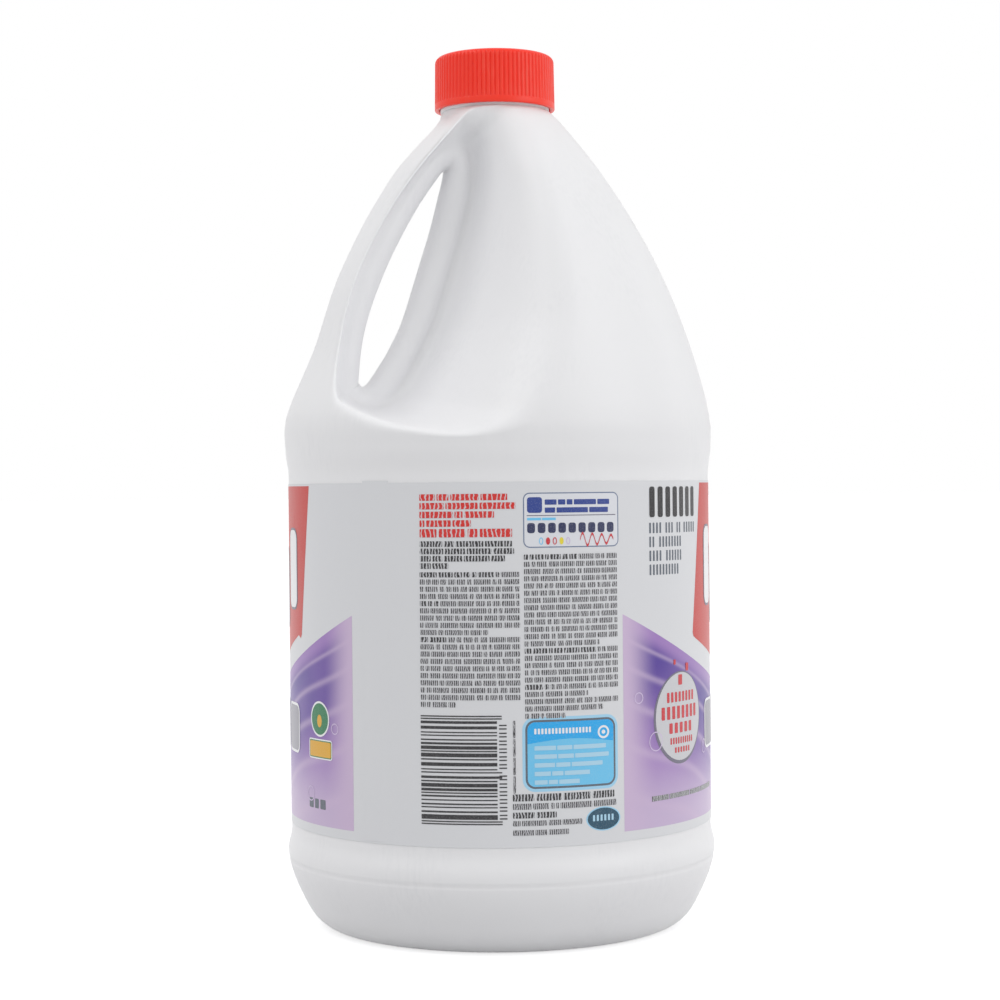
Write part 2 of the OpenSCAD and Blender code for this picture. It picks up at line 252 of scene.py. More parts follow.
class Nodes:
    """Short calls that add and join nodes in one tree."""

    def __init__(self, tree: bpy.types.NodeTree) -> None:
        """Keeps the tree that receives the nodes."""
        self.tree = tree

    def feed(self, node: bpy.types.Node, values: dict[object, object]) -> None:
        """Sets or links the sockets of a node.

        Args:
            node: The node.
            values: Socket names or places, each with a value or with an output socket to link.
        """
        for key, value in values.items():
            socket = node.inputs[key]
            if isinstance(value, Socket):
                self.tree.links.new(value, socket)
            else:
                socket.default_value = value

    def add(self, kind: str, values: dict[object, object] | None = None, **settings: object) -> bpy.types.Node:
        """Adds a node.

        Args:
            kind: Type of the node.
            values: Its sockets, each with a value or with an output socket to link.
            **settings: Attributes of the node.

        Returns:
            The node.
        """
        node = self.tree.nodes.new(kind)
        for key, setting in settings.items():
            setattr(node, key, setting)
        self.feed(node, values or {})
        return node

    def math(self, operation: str, *values: object) -> Socket:
        """Result of a Math node on numbers or output sockets."""
        return self.add("ShaderNodeMath", dict(enumerate(values)), operation=operation).outputs[0]

    def times(self, first: object, *others: object) -> Socket:
        """Product of numbers or output sockets."""
        for other in others:
            first = self.math("MULTIPLY", first, other)
        return first

    def plus(self, a: object, b: object) -> Socket:
        """Sum of two numbers or output sockets."""
        return self.math("ADD", a, b)

    def less(self, a: object, b: object) -> Socket:
        """The first number or output socket less the second."""
        return self.math("SUBTRACT", a, b)

    def mix(self, share: object, a: object, b: object) -> Socket:
        """Colour between a and b, at the share of b."""
        return self.add("ShaderNodeMix", {0: share, 6: a, 7: b}, data_type="RGBA").outputs[2]

    def step(self, value: Socket, low: float, high: float, a: float = 0.0, b: float = 1.0) -> Socket:
        """Value eased from a at low to b at high."""
        return self.add("ShaderNodeMapRange", {0: value, 1: low, 2: high, 3: a, 4: b},
                        interpolation_type="SMOOTHSTEP").outputs[0]

    def where(self) -> Socket:
        """Object coordinates."""
        return self.add("ShaderNodeTexCoord").outputs["Object"]

    def parts(self, vector: Socket) -> Sequence[Socket]:
        """The three parts of a vector."""
        return self.add("ShaderNodeSeparateXYZ", {0: vector}).outputs

    def stretch(self, where: Socket, share: float) -> Socket:
        """Coordinates with their height scaled by a share."""
        return self.add("ShaderNodeMapping", {"Vector": where, "Scale": (1.0, 1.0, share)}).outputs[0]

    def noise(self, where: Socket, scale: object, **values: float) -> Socket:
        """Noise at a scale, with more values for its sockets."""
        return self.add("ShaderNodeTexNoise", {"Vector": where, "Scale": scale, **values}).outputs[0]

    def sized(self, where: Socket, size: Socket, **values: float) -> Socket:
        """Noise whose marks have a size in metres, with more values for its sockets."""
        return self.noise(where, self.math("DIVIDE", 1.0, size), **values)

    def shared(self, effect: Effect, **values: float) -> Sequence[Socket]:
        """Outputs of a shared effect, with underscores for spaces in the names of its values."""
        named = {key.replace("_", " "): value for key, value in values.items()}
        return self.add("ShaderNodeGroup", named, node_tree=group_of(effect)).outputs

    def relief(self, shader: bpy.types.Node, height: Socket, depth: float, strength: float) -> None:
        """Feeds a height between 0 and 1 into a shader's normal, at a depth in metres and a strength."""
        bump = self.add("ShaderNodeBump", {"Height": height, "Distance": depth, "Strength": strength})
        self.feed(shader, {"Normal": bump.outputs[0]})


def new_group(effect: Effect, inputs: dict[str, float],
              outputs: Sequence[str]) -> tuple[Nodes, list[Socket], bpy.types.Node]:
    """Starts a shader group with named number sockets.

    Args:
        effect: Which effect it is.
        inputs: Names and starting values of its inputs.
        outputs: Names of its outputs.

    Returns:
        Its nodes, the sockets of its inputs, and the node of its outputs.
    """
    tree = bpy.data.node_groups.new(effect.value, "ShaderNodeTree")
    for name, value in inputs.items():
        tree.interface.new_socket(name=name, in_out="INPUT", socket_type="NodeSocketFloat").default_value = value
    for name in outputs:
        tree.interface.new_socket(name=name, in_out="OUTPUT", socket_type="NodeSocketFloat")
    n = Nodes(tree)
    enter = n.add("NodeGroupInput").outputs
    return n, [enter[name] for name in inputs], n.add("NodeGroupOutput")


def build_grain() -> bpy.types.NodeTree:
    """Skin of moulded plastic: fine grain, and the slow swell left by blowing and cooling.

    Returns:
        The group.
    """
    n, (size, swell, share), leave = new_group(
        Effect.GRAIN, {"Size": 0.0006, "Swell": 0.012, "Swell Share": 0.8}, ["Height", "Spread"])
    where = n.where()
    fine = n.sized(where, size, Detail=3.0, Roughness=0.55)
    slow = n.sized(where, swell, Detail=1.5, Roughness=0.4)
    height = n.plus(n.times(slow, share), n.times(fine, n.less(1.0, share)))
    n.feed(leave, {"Height": height, "Spread": slow})
    return n.tree


def build_handling() -> bpy.types.NodeTree:
    """Faint rubs and smears left by handling, as a mask.

    Returns:
        The group.
    """
    n, (size, amount), leave = new_group(Effect.HANDLING, {"Size": 0.02, "Amount": 0.5}, ["Mask"])
    where = n.where()
    cloud = n.sized(where, size, Detail=4.0, Distortion=0.6)
    streak = n.noise(n.stretch(where, 0.18), 900.0, Detail=2.0)
    n.feed(leave, {"Mask": n.times(n.step(cloud, 0.42, 0.72), n.step(streak, 0.35, 0.75), amount)})
    return n.tree


def build_press() -> bpy.types.NodeTree:
    """Printed film: its fine tooth, the long ripples of its bond, and the press's fine dots.

    Returns:
        The group.
    """
    n, (wave, dot), leave = new_group(Effect.PRESS, {"Ripple": 0.022, "Tooth": 0.00035}, ["Height", "Dots"])
    where = n.where()
    ripple = n.sized(n.stretch(where, 0.35), wave, Detail=1.0)
    tooth = n.sized(where, dot, Detail=2.0)
    n.feed(leave, {"Height": n.plus(n.times(ripple, 0.93), n.times(tooth, 0.07)), "Dots": tooth})
    return n.tree


GROUPS: dict[Effect, Callable[[], bpy.types.NodeTree]] = {
    Effect.GRAIN: build_grain, Effect.HANDLING: build_handling, Effect.PRESS: build_press}


def group_of(effect: Effect) -> bpy.types.NodeTree:
    """Node group of a shared effect, built at its first use."""
    return bpy.data.node_groups.get(effect.value) or GROUPS[effect]()


@dataclass(frozen=True)
class Finish:
    """A finish: its name, plain settings of the shader, and how it is dressed."""

    name: str
    color: Color
    roughness: float
    settings: dict[str, object] = field(default_factory=dict)

    def base(self) -> tuple[bpy.types.Material, Nodes, bpy.types.Node]:
        """Starts the material.

        Returns:
            The material, its nodes, and its Principled shader.
        """
        material = bpy.data.materials.new(self.name)
        material.use_nodes = True
        n = Nodes(material.node_tree)
        shader = n.tree.nodes["Principled BSDF"]
        n.feed(shader, {"Base Color": self.color, "Roughness": self.roughness, **self.settings})
        return material, n, shader


@dataclass(frozen=True)
class BottlePlastic(Finish):
    """Blow-moulded natural white polyethylene with the mould's parting line."""

    seam_half: float = 0.00035
    rubbed: Color = rgb(226, 227, 230)

    def build(self) -> bpy.types.Material:
        """Makes the material.

        Returns:
            The material.
        """
        material, n, shader = self.base()
        grain = n.shared(Effect.GRAIN, Size=0.0009, Swell=0.016, Swell_Share=0.9)
        marks = n.shared(Effect.HANDLING, Size=0.03, Amount=1.0)["Mask"]
        _, across, up = n.parts(n.where())
        seam = n.step(n.math("ABSOLUTE", across), 0.0, self.seam_half, 1.0, 0.0)
        ridge = n.times(seam, n.step(up, 0.0005, 0.003), 0.35)
        n.relief(shader, n.plus(grain["Height"], ridge), 0.00018, 0.6)
        worn = n.plus(self.roughness, n.times(marks, 0.07))
        n.feed(shader, {"Roughness": n.plus(worn, n.times(n.less(grain["Spread"], 0.5), 0.06)),
                        "Base Color": n.mix(n.times(marks, 0.25), self.color, self.rubbed)})
        return material


@dataclass(frozen=True)
class CapPlastic(Finish):
    """Injection-moulded glossy cap plastic, a little paler where the ribs are rubbed."""

    rubbed: Color = (0.9, 0.16, 0.1, 1.0)
    groove_r: float = 0.01842
    tip_r: float = 0.01864

    def build(self) -> bpy.types.Material:
        """Makes the material.

        Returns:
            The material.
        """
        material, n, shader = self.base()
        grain = n.shared(Effect.GRAIN, Size=0.00035, Swell=0.004, Swell_Share=0.5)
        marks = n.shared(Effect.HANDLING, Size=0.012, Amount=1.0)["Mask"]
        n.relief(shader, grain["Height"], 0.00003, 0.6)
        x, y, _ = n.parts(n.where())
        radius = n.math("SQRT", n.plus(n.times(x, x), n.times(y, y)))
        worn = n.times(n.step(radius, self.groove_r, self.tip_r), n.plus(0.06, n.times(marks, 0.22)))
        n.feed(shader, {"Base Color": n.mix(worn, self.color, self.rubbed),
                        "Roughness": n.plus(self.roughness, n.times(marks, 0.08))})
        return material


@dataclass(frozen=True)
class WadFoam(Finish):
    """Closed-cell foam of the sealing wad."""

    cell_wall: Color = rgb(214, 214, 210)

    def build(self) -> bpy.types.Material:
        """Makes the material.

        Returns:
            The material.
        """
        material, n, shader = self.base()
        cells = n.add("ShaderNodeTexVoronoi", {"Vector": n.where(), "Scale": 2600.0}).outputs["Distance"]
        n.relief(shader, cells, 0.00008, 0.7)
        n.feed(shader, {"Base Color": n.mix(n.step(cells, 0.0, 0.7), self.cell_wall, self.color)})
        return material


@dataclass(frozen=True)
class LabelFilm(Finish):
    """White label film, or one ink printed on it."""

    speckle: float = 0.03
    shade: Color = (0.5, 0.5, 0.52, 1.0)
    strokes: float = 0.0
    gap_from: float = -0.15
    radius: float = 0.0659

    def build(self) -> bpy.types.Material:
        """Makes the material.

        Returns:
            The material.
        """
        material, n, shader = self.base()
        press = n.shared(Effect.PRESS)
        n.relief(shader, press["Height"], 0.00025, 0.5)
        share = n.times(n.step(press["Dots"], 0.45, 0.7), self.speckle)
        if self.strokes:
            share = n.math("MAXIMUM", share, self.gaps(n))
        marks = n.shared(Effect.HANDLING, Size=0.03, Amount=1.0)["Mask"]
        n.feed(shader, {"Base Color": n.mix(share, self.color, self.shade),
                        "Roughness": n.plus(self.roughness, n.times(marks, 0.1))})
        return material

    def gaps(self, n: Nodes) -> Socket:
        """Leaves uneven upright gaps in the ink, so that a bar keeps the grey of small print.

        Args:
            n: Nodes of the material.

        Returns:
            Mask of the gaps.
        """
        where = n.where()
        x, y, _ = n.parts(where)
        along = n.times(n.math("ARCTAN2", y, x), self.radius)
        shift = n.times(n.noise(where, 0.7 / self.strokes), 7.0)
        turn = n.plus(n.times(along, 2 * math.pi / self.strokes), shift)
        return n.times(n.step(n.math("SINE", turn), self.gap_from, self.gap_from + 0.6), 0.86)


@dataclass(frozen=True)
class WashInk(Finish):
    """Violet field of a front panel: pale at its ends, deepest under its crest, with soft bands along the crest."""

    pale: Color = rgb(206, 184, 214)
    deep: Color = rgb(66, 36, 146)
    foot: Color = rgb(200, 180, 212)
    meeting: float = 61.9

    def build(self) -> bpy.types.Material:
        """Makes the material.

        Returns:
            The material.
        """
        material, n, shader = self.base()
        n.relief(shader, n.shared(Effect.PRESS)["Height"], 0.00025, 0.5)
        where = n.where()
        turned = n.add("ShaderNodeVectorRotate", {"Vector": where, "Angle": -math.radians(self.meeting)},
                       rotation_type="Z_AXIS").outputs[0]
        x, y, z = n.parts(turned)
        angle = n.math("ABSOLUTE", n.math("ARCTAN2", y, x))
        share = n.math("DIVIDE", angle, math.radians(PANEL_WIDE))
        wave = n.math("SINE", n.times(share, math.pi))
        below = n.less(n.less(CREST_TOP * MM, n.times(wave, CREST_DIP * MM)), z)
        inside = n.math("MINIMUM", share, n.less(1.0, share))
        tone = n.mix(n.step(z, 0.037, 0.062), self.foot, self.color)
        cloud = n.plus(0.72, n.times(n.step(n.noise(where, 45.0, Detail=1.0), 0.35, 0.62), 0.28))
        core = n.times(n.step(below, 0.001, 0.007), n.step(below, 0.014, 0.04, 1.0, 0.0), cloud)
        tone = n.mix(n.times(core, 0.92), tone, self.deep)
        swing = n.times(n.math("SINE", n.times(angle, 7.0)), 0.5)
        phase = n.plus(n.times(n.math("POWER", n.math("MAXIMUM", below, 0.0), 0.6), 105.0), swing)
        band = n.math("POWER", n.math("ABSOLUTE", n.math("SINE", phase)), 16.0)
        tone = n.mix(n.times(band, n.step(below, 0.002, 0.006), 0.5), tone, self.pale)
        tone = n.mix(n.step(inside, 0.0, 0.085, 1.0, 0.0), tone, self.pale)
        n.feed(shader, {"Base Color": tone})
        return material


# Bottle

@dataclass
class BottleShell:
    """The blow-moulded shell: base, heel, panel, bulge, shoulder with its hollow handle, and neck."""

    panel_r: float = 65.7
    panel_z0: float = 31.0
    panel_z1: float = 139.0
    bulge_r: float = 66.85
    heel_r: float = 66.8
    heel_z: float = 24.0
    wall: float = 0.9
    foot_r: float = 52.0
    foot_w: float = 3.0
    push_up: float = 8.0
    line_z: float = 21.4
    line_depth: float = 0.25
    low_z: float = 148.0
    high_z: float = 254.0
    top_r: float = 16.3
    nose_r: float = 5.4
    nose_wrap: float = 0.4
    rim_round: float = 3.2
    handle_inset: float = 4.0
    neck_r: float = 15.9
    neck_bore: float = 14.4
    neck_root: float = 2.5
    collar_r: float = 17.05
    lip_z: float = 268.3
    lip_round: float = 0.4
    seam_ease: float = 0.5
    per_station: int = 8
    nose_rows: int = 8
    flare_rows: int = 12
    fillet_rows: int = 5
    round_rows: int = 14
    outline: Curve = ((0, 0.996), (0.057, 1), (0.142, 0.969), (0.283, 0.885), (0.415, 0.787),
                      (0.547, 0.664), (0.679, 0.514), (0.811, 0.336), (0.888, 0.215), (0.934, 0.137),
                      (0.965, 0.081), (0.98, 0.049), (0.989, 0.03), (1, 0))
    back: Curve = ((0, 0), (0.085, 0), (0.117, 0.1), (0.206, 0.47), (0.295, 0.7), (0.384, 0.59),
                   (0.472, 0.41), (0.562, 0.36), (0.651, 0.33), (0.74, 0.34), (0.829, 0.4), (0.888, 0.59),
                   (0.925, 0.8), (0.956, 1), (0.974, 0.85), (0.988, 0.4), (1, 0))
    handle_half: float = 60.0
    back_station: int = 8
    upper_station: int = 12
    front_station: int = 16
    stations: Sequence[tuple[float, ...]] = (
        (17, 0.162, 0.737, 0.201, 0), (25, 0.106, 0.728, 0.188, 0), (41, 0.055, 0.716, 0.18, 0),
        (58, 0.033, 0.702, 0.18, 0.25), (71, 0.069, 0.685, 0.187, 0.6), (78, 0.142, 0.665, 0.204, 0.9),
        (82.5, 0.224, 0.635, 0.238, 1), (85.6, 0.299, 0.596, 0.288, 1), (88, 0.382, 0.548, 0.377, 1),
        (89.8, 0.52, 0.515, 0.523, 1), (89.9, 0.658, 0.496, 0.648, 1), (89.5, 0.785, 0.503, 0.748, 1),
        (87.5, 0.915, 0.512, 0.799, 1), (77, 0.98, 0.52, 0.813, 0.8), (56, 0.988, 0.532, 0.816, 0.4),
        (36, 0.965, 0.55, 0.811, 0), (25.5, 0.873, 0.578, 0.793, 0), (15.2, 0.726, 0.66, 0.701, 0),
        (10.3, 0.549, 0.728, 0.541, 0), (10.3, 0.339, 0.758, 0.354, 0))

    def __post_init__(self) -> None:
        """Derives the grid's counts."""
        self.columns = len(self.stations) * self.per_station
        self.rim_row = self.nose_rows + self.flare_rows
        self.fillet_row = self.rim_row + self.fillet_rows
        self.last_row = self.fillet_row + self.round_rows
        self.back_k = self.back_station * self.per_station
        self.upper_k = self.upper_station * self.per_station
        self.front_k = self.front_station * self.per_station
        self.rise = self.high_z - self.low_z

    def shoulder_r(self, z: float) -> float:
        """Radius of the round shoulder at a height."""
        return self.top_r + (self.bulge_r - self.top_r) * curve(self.outline, (z - self.low_z) / self.rise)

    def lean(self, z: float) -> float:
        """Change of the shoulder's radius for each millimetre of height."""
        return (self.shoulder_r(z + 0.005) - self.shoulder_r(z - 0.005)) / 0.01

    def height(self, share: float) -> float:
        """Height at a share of the shoulder."""
        return self.low_z + share * self.rise

    def skin(self, angle: float, z: float) -> Vector:
        """Point of the shoulder's skin, a little inside the round one at the handle's back.

        Args:
            angle: Angle from the handle in degrees.
            z: Height.

        Returns:
            The point.
        """
        inset = self.handle_inset * max(0.0, curve(self.back, (z - self.low_z) / self.rise))
        inset *= (1 + math.cos(math.pi * angle / self.handle_half)) / 2 if angle < self.handle_half else 0.0
        return polar(self.shoulder_r(z) - inset, math.pi - math.radians(angle), z)

    def station(self, k: float) -> list[float]:
        """Values of the closed smooth curve through the stations.

        Args:
            k: Column.

        Returns:
            Rim angle; then rim height, hole edge radius, hole edge height and valley depth as shares.
        """
        n = len(self.stations)
        i = math.floor(k / self.per_station)
        t = k / self.per_station - i
        a, b, c, d = (self.stations[(i + shift) % n] for shift in (-1, 0, 1, 2))
        return [(2 * b[m] + (c[m] - a[m]) * t + (2 * a[m] - 5 * b[m] + 4 * c[m] - d[m]) * t * t
                 + (3 * b[m] - a[m] - 3 * c[m] + d[m]) * t ** 3) / 2 for m in range(5)]

    def scoop_point(self, k: int, share: float) -> Vector:
        """Point of the finger scoop, between the hole's rounded edge and the leaf-shaped rim.

        Args:
            k: Column round the hole.
            share: From minus one at the parting plane, by zero at the edge's inner side, to one at the rim.

        Returns:
            The point.
        """
        angle, rim_z, hole_r, hole_z, crease = self.station(k)
        crease = max(0.0, min(1.0, crease))
        z = self.height(hole_z)
        start = Vector((-hole_r * self.shoulder_r(z), 0.0, z))
        rim = self.skin(angle, self.height(rim_z))
        reach = math.hypot(rim.x - start.x, rim.z - start.z)
        r = min(self.nose_r, 0.72 * rim.y)
        turn = math.pi / 2 * (1 + self.nose_wrap * crease) * min(1.0, 1 + share)
        d, y = r * (1 - math.cos(turn)), r * math.sin(turn)
        if share > 0:
            d += (reach - d) * bezier(share, 0, 0.45 - 0.03 * crease, 0.7 - 0.65 * crease, 1)
            y += (rim.y - y) * bezier(share, 0, -0.02 * crease, 0.76 + 0.04 * crease, 1)
        return Vector((start.x + (rim.x - start.x) * d / reach, y, start.z + (rim.z - start.z) * d / reach))

    def seam_share(self, t: float) -> float:
        """Share of the parting line, with its columns closer together near both ends."""
        return t - self.seam_ease * math.sin(2 * math.pi * t) / (2 * math.pi)

    def edge_at(self, k: int) -> tuple[float, float]:
        """Angle and height where a column ends: lower ring, back line, upper ring, handle line.

        Args:
            k: Column.

        Returns:
            Angle from the handle in degrees, and height.
        """
        side = self.upper_k - self.back_k
        if k <= self.back_k:
            return 180 * k / self.back_k, self.low_z
        if k < self.upper_k:
            return 180.0, self.low_z + self.rise * self.seam_share((k - self.back_k) / side)
        if k <= self.front_k:
            return 180 * (self.front_k - k) / (self.front_k - self.upper_k), self.high_z
        return 0.0, self.high_z - self.rise * self.seam_share((k - self.front_k) / side)

    def round_point(self, k: int, share: float) -> Vector:
        """Point of the round shoulder, between the scoop's rim and the open end or the parting line.

        Args:
            k: Column round the hole.
            share: From zero at the rim to one at the end.

        Returns:
            The point.
        """
        angle, rim_z = self.station(k)[:2]
        end_angle, end_z = self.edge_at(k)
        z0 = self.height(rim_z)
        return self.skin(angle + (end_angle - angle) * share, z0 + (end_z - z0) * share)

    def shoulder_point(self, k: int, j: int) -> Vector:
        """Point of the moulded shoulder at a column and row, with the scoop's rim rounded over.

        Args:
            k: Column round the hole.
            j: Row out from the parting plane.

        Returns:
            The point.
        """
        if j <= self.nose_rows:
            return self.scoop_point(k, j / self.nose_rows - 1)
        rim = self.scoop_point(k, 1)
        low = 1 - self.rim_round / max(self.rim_round, (self.scoop_point(k, 0.9) - rim).length) * 0.1
        end = (self.round_point(k, 0.05) - rim).length / 0.05
        high = min(0.4, self.rim_round / end)
        if j <= self.rim_row:
            return self.scoop_point(k, low * (j - self.nose_rows) / self.flare_rows)
        if j <= self.fillet_row:
            t = (j - self.rim_row) / self.fillet_rows
            return ((1 - t) ** 2 * self.scoop_point(k, low) + 2 * t * (1 - t) * rim
                    + t * t * self.round_point(k, high))
        share = (j - self.fillet_row) / self.round_rows
        return self.round_point(k, high + (1 - high) * share ** 1.3)

    def add_shoulder(self, bm: bmesh.types.BMesh) -> None:
        """Adds the shoulder: a grid laid round the finger hole, and its mirror image.

        Args:
            bm: Mesh that receives it.
        """
        grid = bmesh.ops.create_grid(bm, x_segments=self.columns, y_segments=self.last_row, size=1.0)["verts"]
        for vert in grid:
            k = round((vert.co.x + 1) / 2 * self.columns) % self.columns
            j = round((vert.co.y + 1) / 2 * self.last_row)
            vert.co = self.shoulder_point(k, j)
            on_line = j == self.last_row and (k == 0 or k >= self.front_k or self.back_k <= k <= self.upper_k)
            if j == 0 or on_line:
                vert.co.y = 0.0
        bmesh.ops.remove_doubles(bm, verts=grid, dist=WELD)
        bmesh.ops.mirror(bm, geom=bm.verts[:] + bm.edges[:] + bm.faces[:], axis="Y", merge_dist=WELD)

    def body_line(self) -> list[Point]:
        """Outline of base, heel, panel and bulge, from the axis up to the shoulder.

        Returns:
            Points as radius and height.
        """
        dome, foot, panel, z0, z1 = self.foot_r - self.foot_w, self.foot_r, self.panel_r, self.panel_z0, self.panel_z1
        knee_r, knee_z = foot + 0.63 * (self.heel_r - foot), 0.31 * self.heel_z
        lift, waist, bulge = self.heel_z - knee_z, z0 - self.heel_z, self.low_z - z1
        start = self.shoulder_r(self.low_z)
        heel = arc(26, (knee_r, knee_z), (knee_r + 0.165 * lift, knee_z + 0.33 * lift),
                   (self.heel_r, self.heel_z - 0.33 * lift), (self.heel_r, self.heel_z))
        near = min(range(len(heel)), key=lambda i: abs(heel[i][1] - self.line_z))
        heel[near] = (heel[near][0] - self.line_depth, heel[near][1])
        return (arc(10, (0, self.push_up), (0.6 * dome, self.push_up), (0.9 * dome, 0.6 * self.push_up), (dome, 0))
                + [(dome, 0.0), (dome + 0.35, 0.0), (foot - 0.35, 0.0)]
                + arc(10, (foot, 0), (foot + 0.4 * (knee_r - foot), 0), (knee_r - 0.3 * knee_z, 0.4 * knee_z),
                      (knee_r, knee_z))
                + heel
                + arc(8, (self.heel_r, self.heel_z), (self.heel_r, self.heel_z + 0.4 * waist),
                      (panel, z0 - 0.4 * waist), (panel, z0))
                + [(panel, z0 + (z1 - z0) * i / 12) for i in range(12)]
                + arc(10, (panel, z1), (panel, z1 + 0.4 * bulge),
                      (start - 0.4 * bulge * self.lean(self.low_z + 0.005), self.low_z - 0.4 * bulge),
                      (start, self.low_z))
                + [(start, self.low_z)])

    def neck_line(self) -> list[Point]:
        """Outline of the neck, from the shoulder to the lip.

        Returns:
            Points as radius and height.
        """
        root_z = self.high_z + self.neck_root
        lip = [(self.neck_r - self.lip_round * (1 - math.cos(t)), self.lip_z - self.lip_round * (1 - math.sin(t)))
               for t in (math.pi / 2 * i / 4 for i in range(5))]
        return (arc(6, (self.top_r, self.high_z), (self.top_r - 0.15, self.high_z),
                    (self.neck_r, root_z - 0.4 * self.neck_root), (self.neck_r, root_z))
                + [(self.neck_r, root_z + (self.lip_z - self.lip_round - root_z) * i / 6) for i in range(6)] + lip)

    def add_inside(self, bm: bmesh.types.BMesh) -> None:
        """Adds the inner skin, one wall inside the outer one, and joins the two at the lip.

        Args:
            bm: Outer skin, which receives the inner one.
        """
        bm.normal_update()
        copy = bmesh.ops.duplicate(bm, geom=bm.verts[:] + bm.edges[:] + bm.faces[:])["geom"]
        verts = [item for item in copy if isinstance(item, bmesh.types.BMVert)]
        faces = [item for item in copy if isinstance(item, bmesh.types.BMFace)]
        for vert, normal in [(vert, vert.normal.copy()) for vert in verts]:
            in_neck = vert.co.z > self.high_z + 0.5
            vert.co -= normal * (self.neck_r - self.neck_bore if in_neck else self.wall)
        bmesh.ops.reverse_faces(bm, faces=faces)
        rim = [edge for edge in bm.edges if edge.is_boundary]
        bmesh.ops.bridge_loops(bm, edges=rim)

    def add_thread(self, bm: bmesh.types.BMesh) -> None:
        """Adds the neck's thread, a ridge that runs out at both ends."""
        Thread(root_r=self.neck_r - 0.25, crest_r=self.neck_r + 1.05, start_z=THREAD_Z, turns=1.5).add(bm)

    def add_collar(self, bm: bmesh.types.BMesh) -> None:
        """Adds the moulded collar at the root of the neck, just inside the closed cap's edge.

        Args:
            bm: Mesh that receives it.
        """
        collar = bmesh.new()
        root, r, z = self.neck_r - 0.4, self.collar_r, self.high_z
        lathe(collar, [(root, z - 0.5), (r, z - 0.5), (r + 0.04, z + 1.3), (r - 0.12, z + 1.75), (r - 0.5, z + 2.0),
                       (root, z + 2.2), (root, z - 0.5)], 96)
        join(bm, collar, outwards=True)

    def build(self, plastic: bpy.types.Material) -> None:
        """Builds the shell and lets it stand for the CAD bottle.

        Args:
            plastic: Its finish.
        """
        bm = bmesh.new()
        self.add_shoulder(bm)
        lathe(bm, self.body_line(), 2 * self.back_k)
        lathe(bm, self.neck_line(), 2 * (self.front_k - self.upper_k))
        tidy_shell(bm)
        self.add_inside(bm)
        self.add_thread(bm)
        self.add_collar(bm)
        piece = place(bm, "bottle_shell", plastic, "jug")
        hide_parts("bottle")


@dataclass
class Thread:
    """A right-handed thread ridge that tapers away at both ends."""

    root_r: float
    crest_r: float
    start_z: float
    turns: float
    foot: float = 0.85
    crest: float = 0.35
    steps_a_turn: int = 72
    runout: float = 0.08

    def add(self, bm: bmesh.types.BMesh) -> None:
        """Adds the ridge.

        Args:
            bm: Mesh that receives it.
        """
        rise, z = THREAD_PITCH * self.turns, self.start_z
        part = swept([(self.root_r, z - self.foot), (self.crest_r, z - self.crest), (self.crest_r, z + self.crest),
                      (self.root_r, z + self.foot)], 0.0, 360 * self.turns, round(self.steps_a_turn * self.turns), rise)
        for vert in part.verts:
            share = (vert.co.z - z + self.foot) / (rise + 2 * self.foot)
            fade = ease(0.0, self.runout, share) * ease(0.0, self.runout, 1 - share)
            height = math.hypot(vert.co.x, vert.co.y) - self.root_r
            set_radius(vert, self.root_r + height * (0.1 + 0.9 * fade))
        join(bm, part, outwards=True)


# Closure

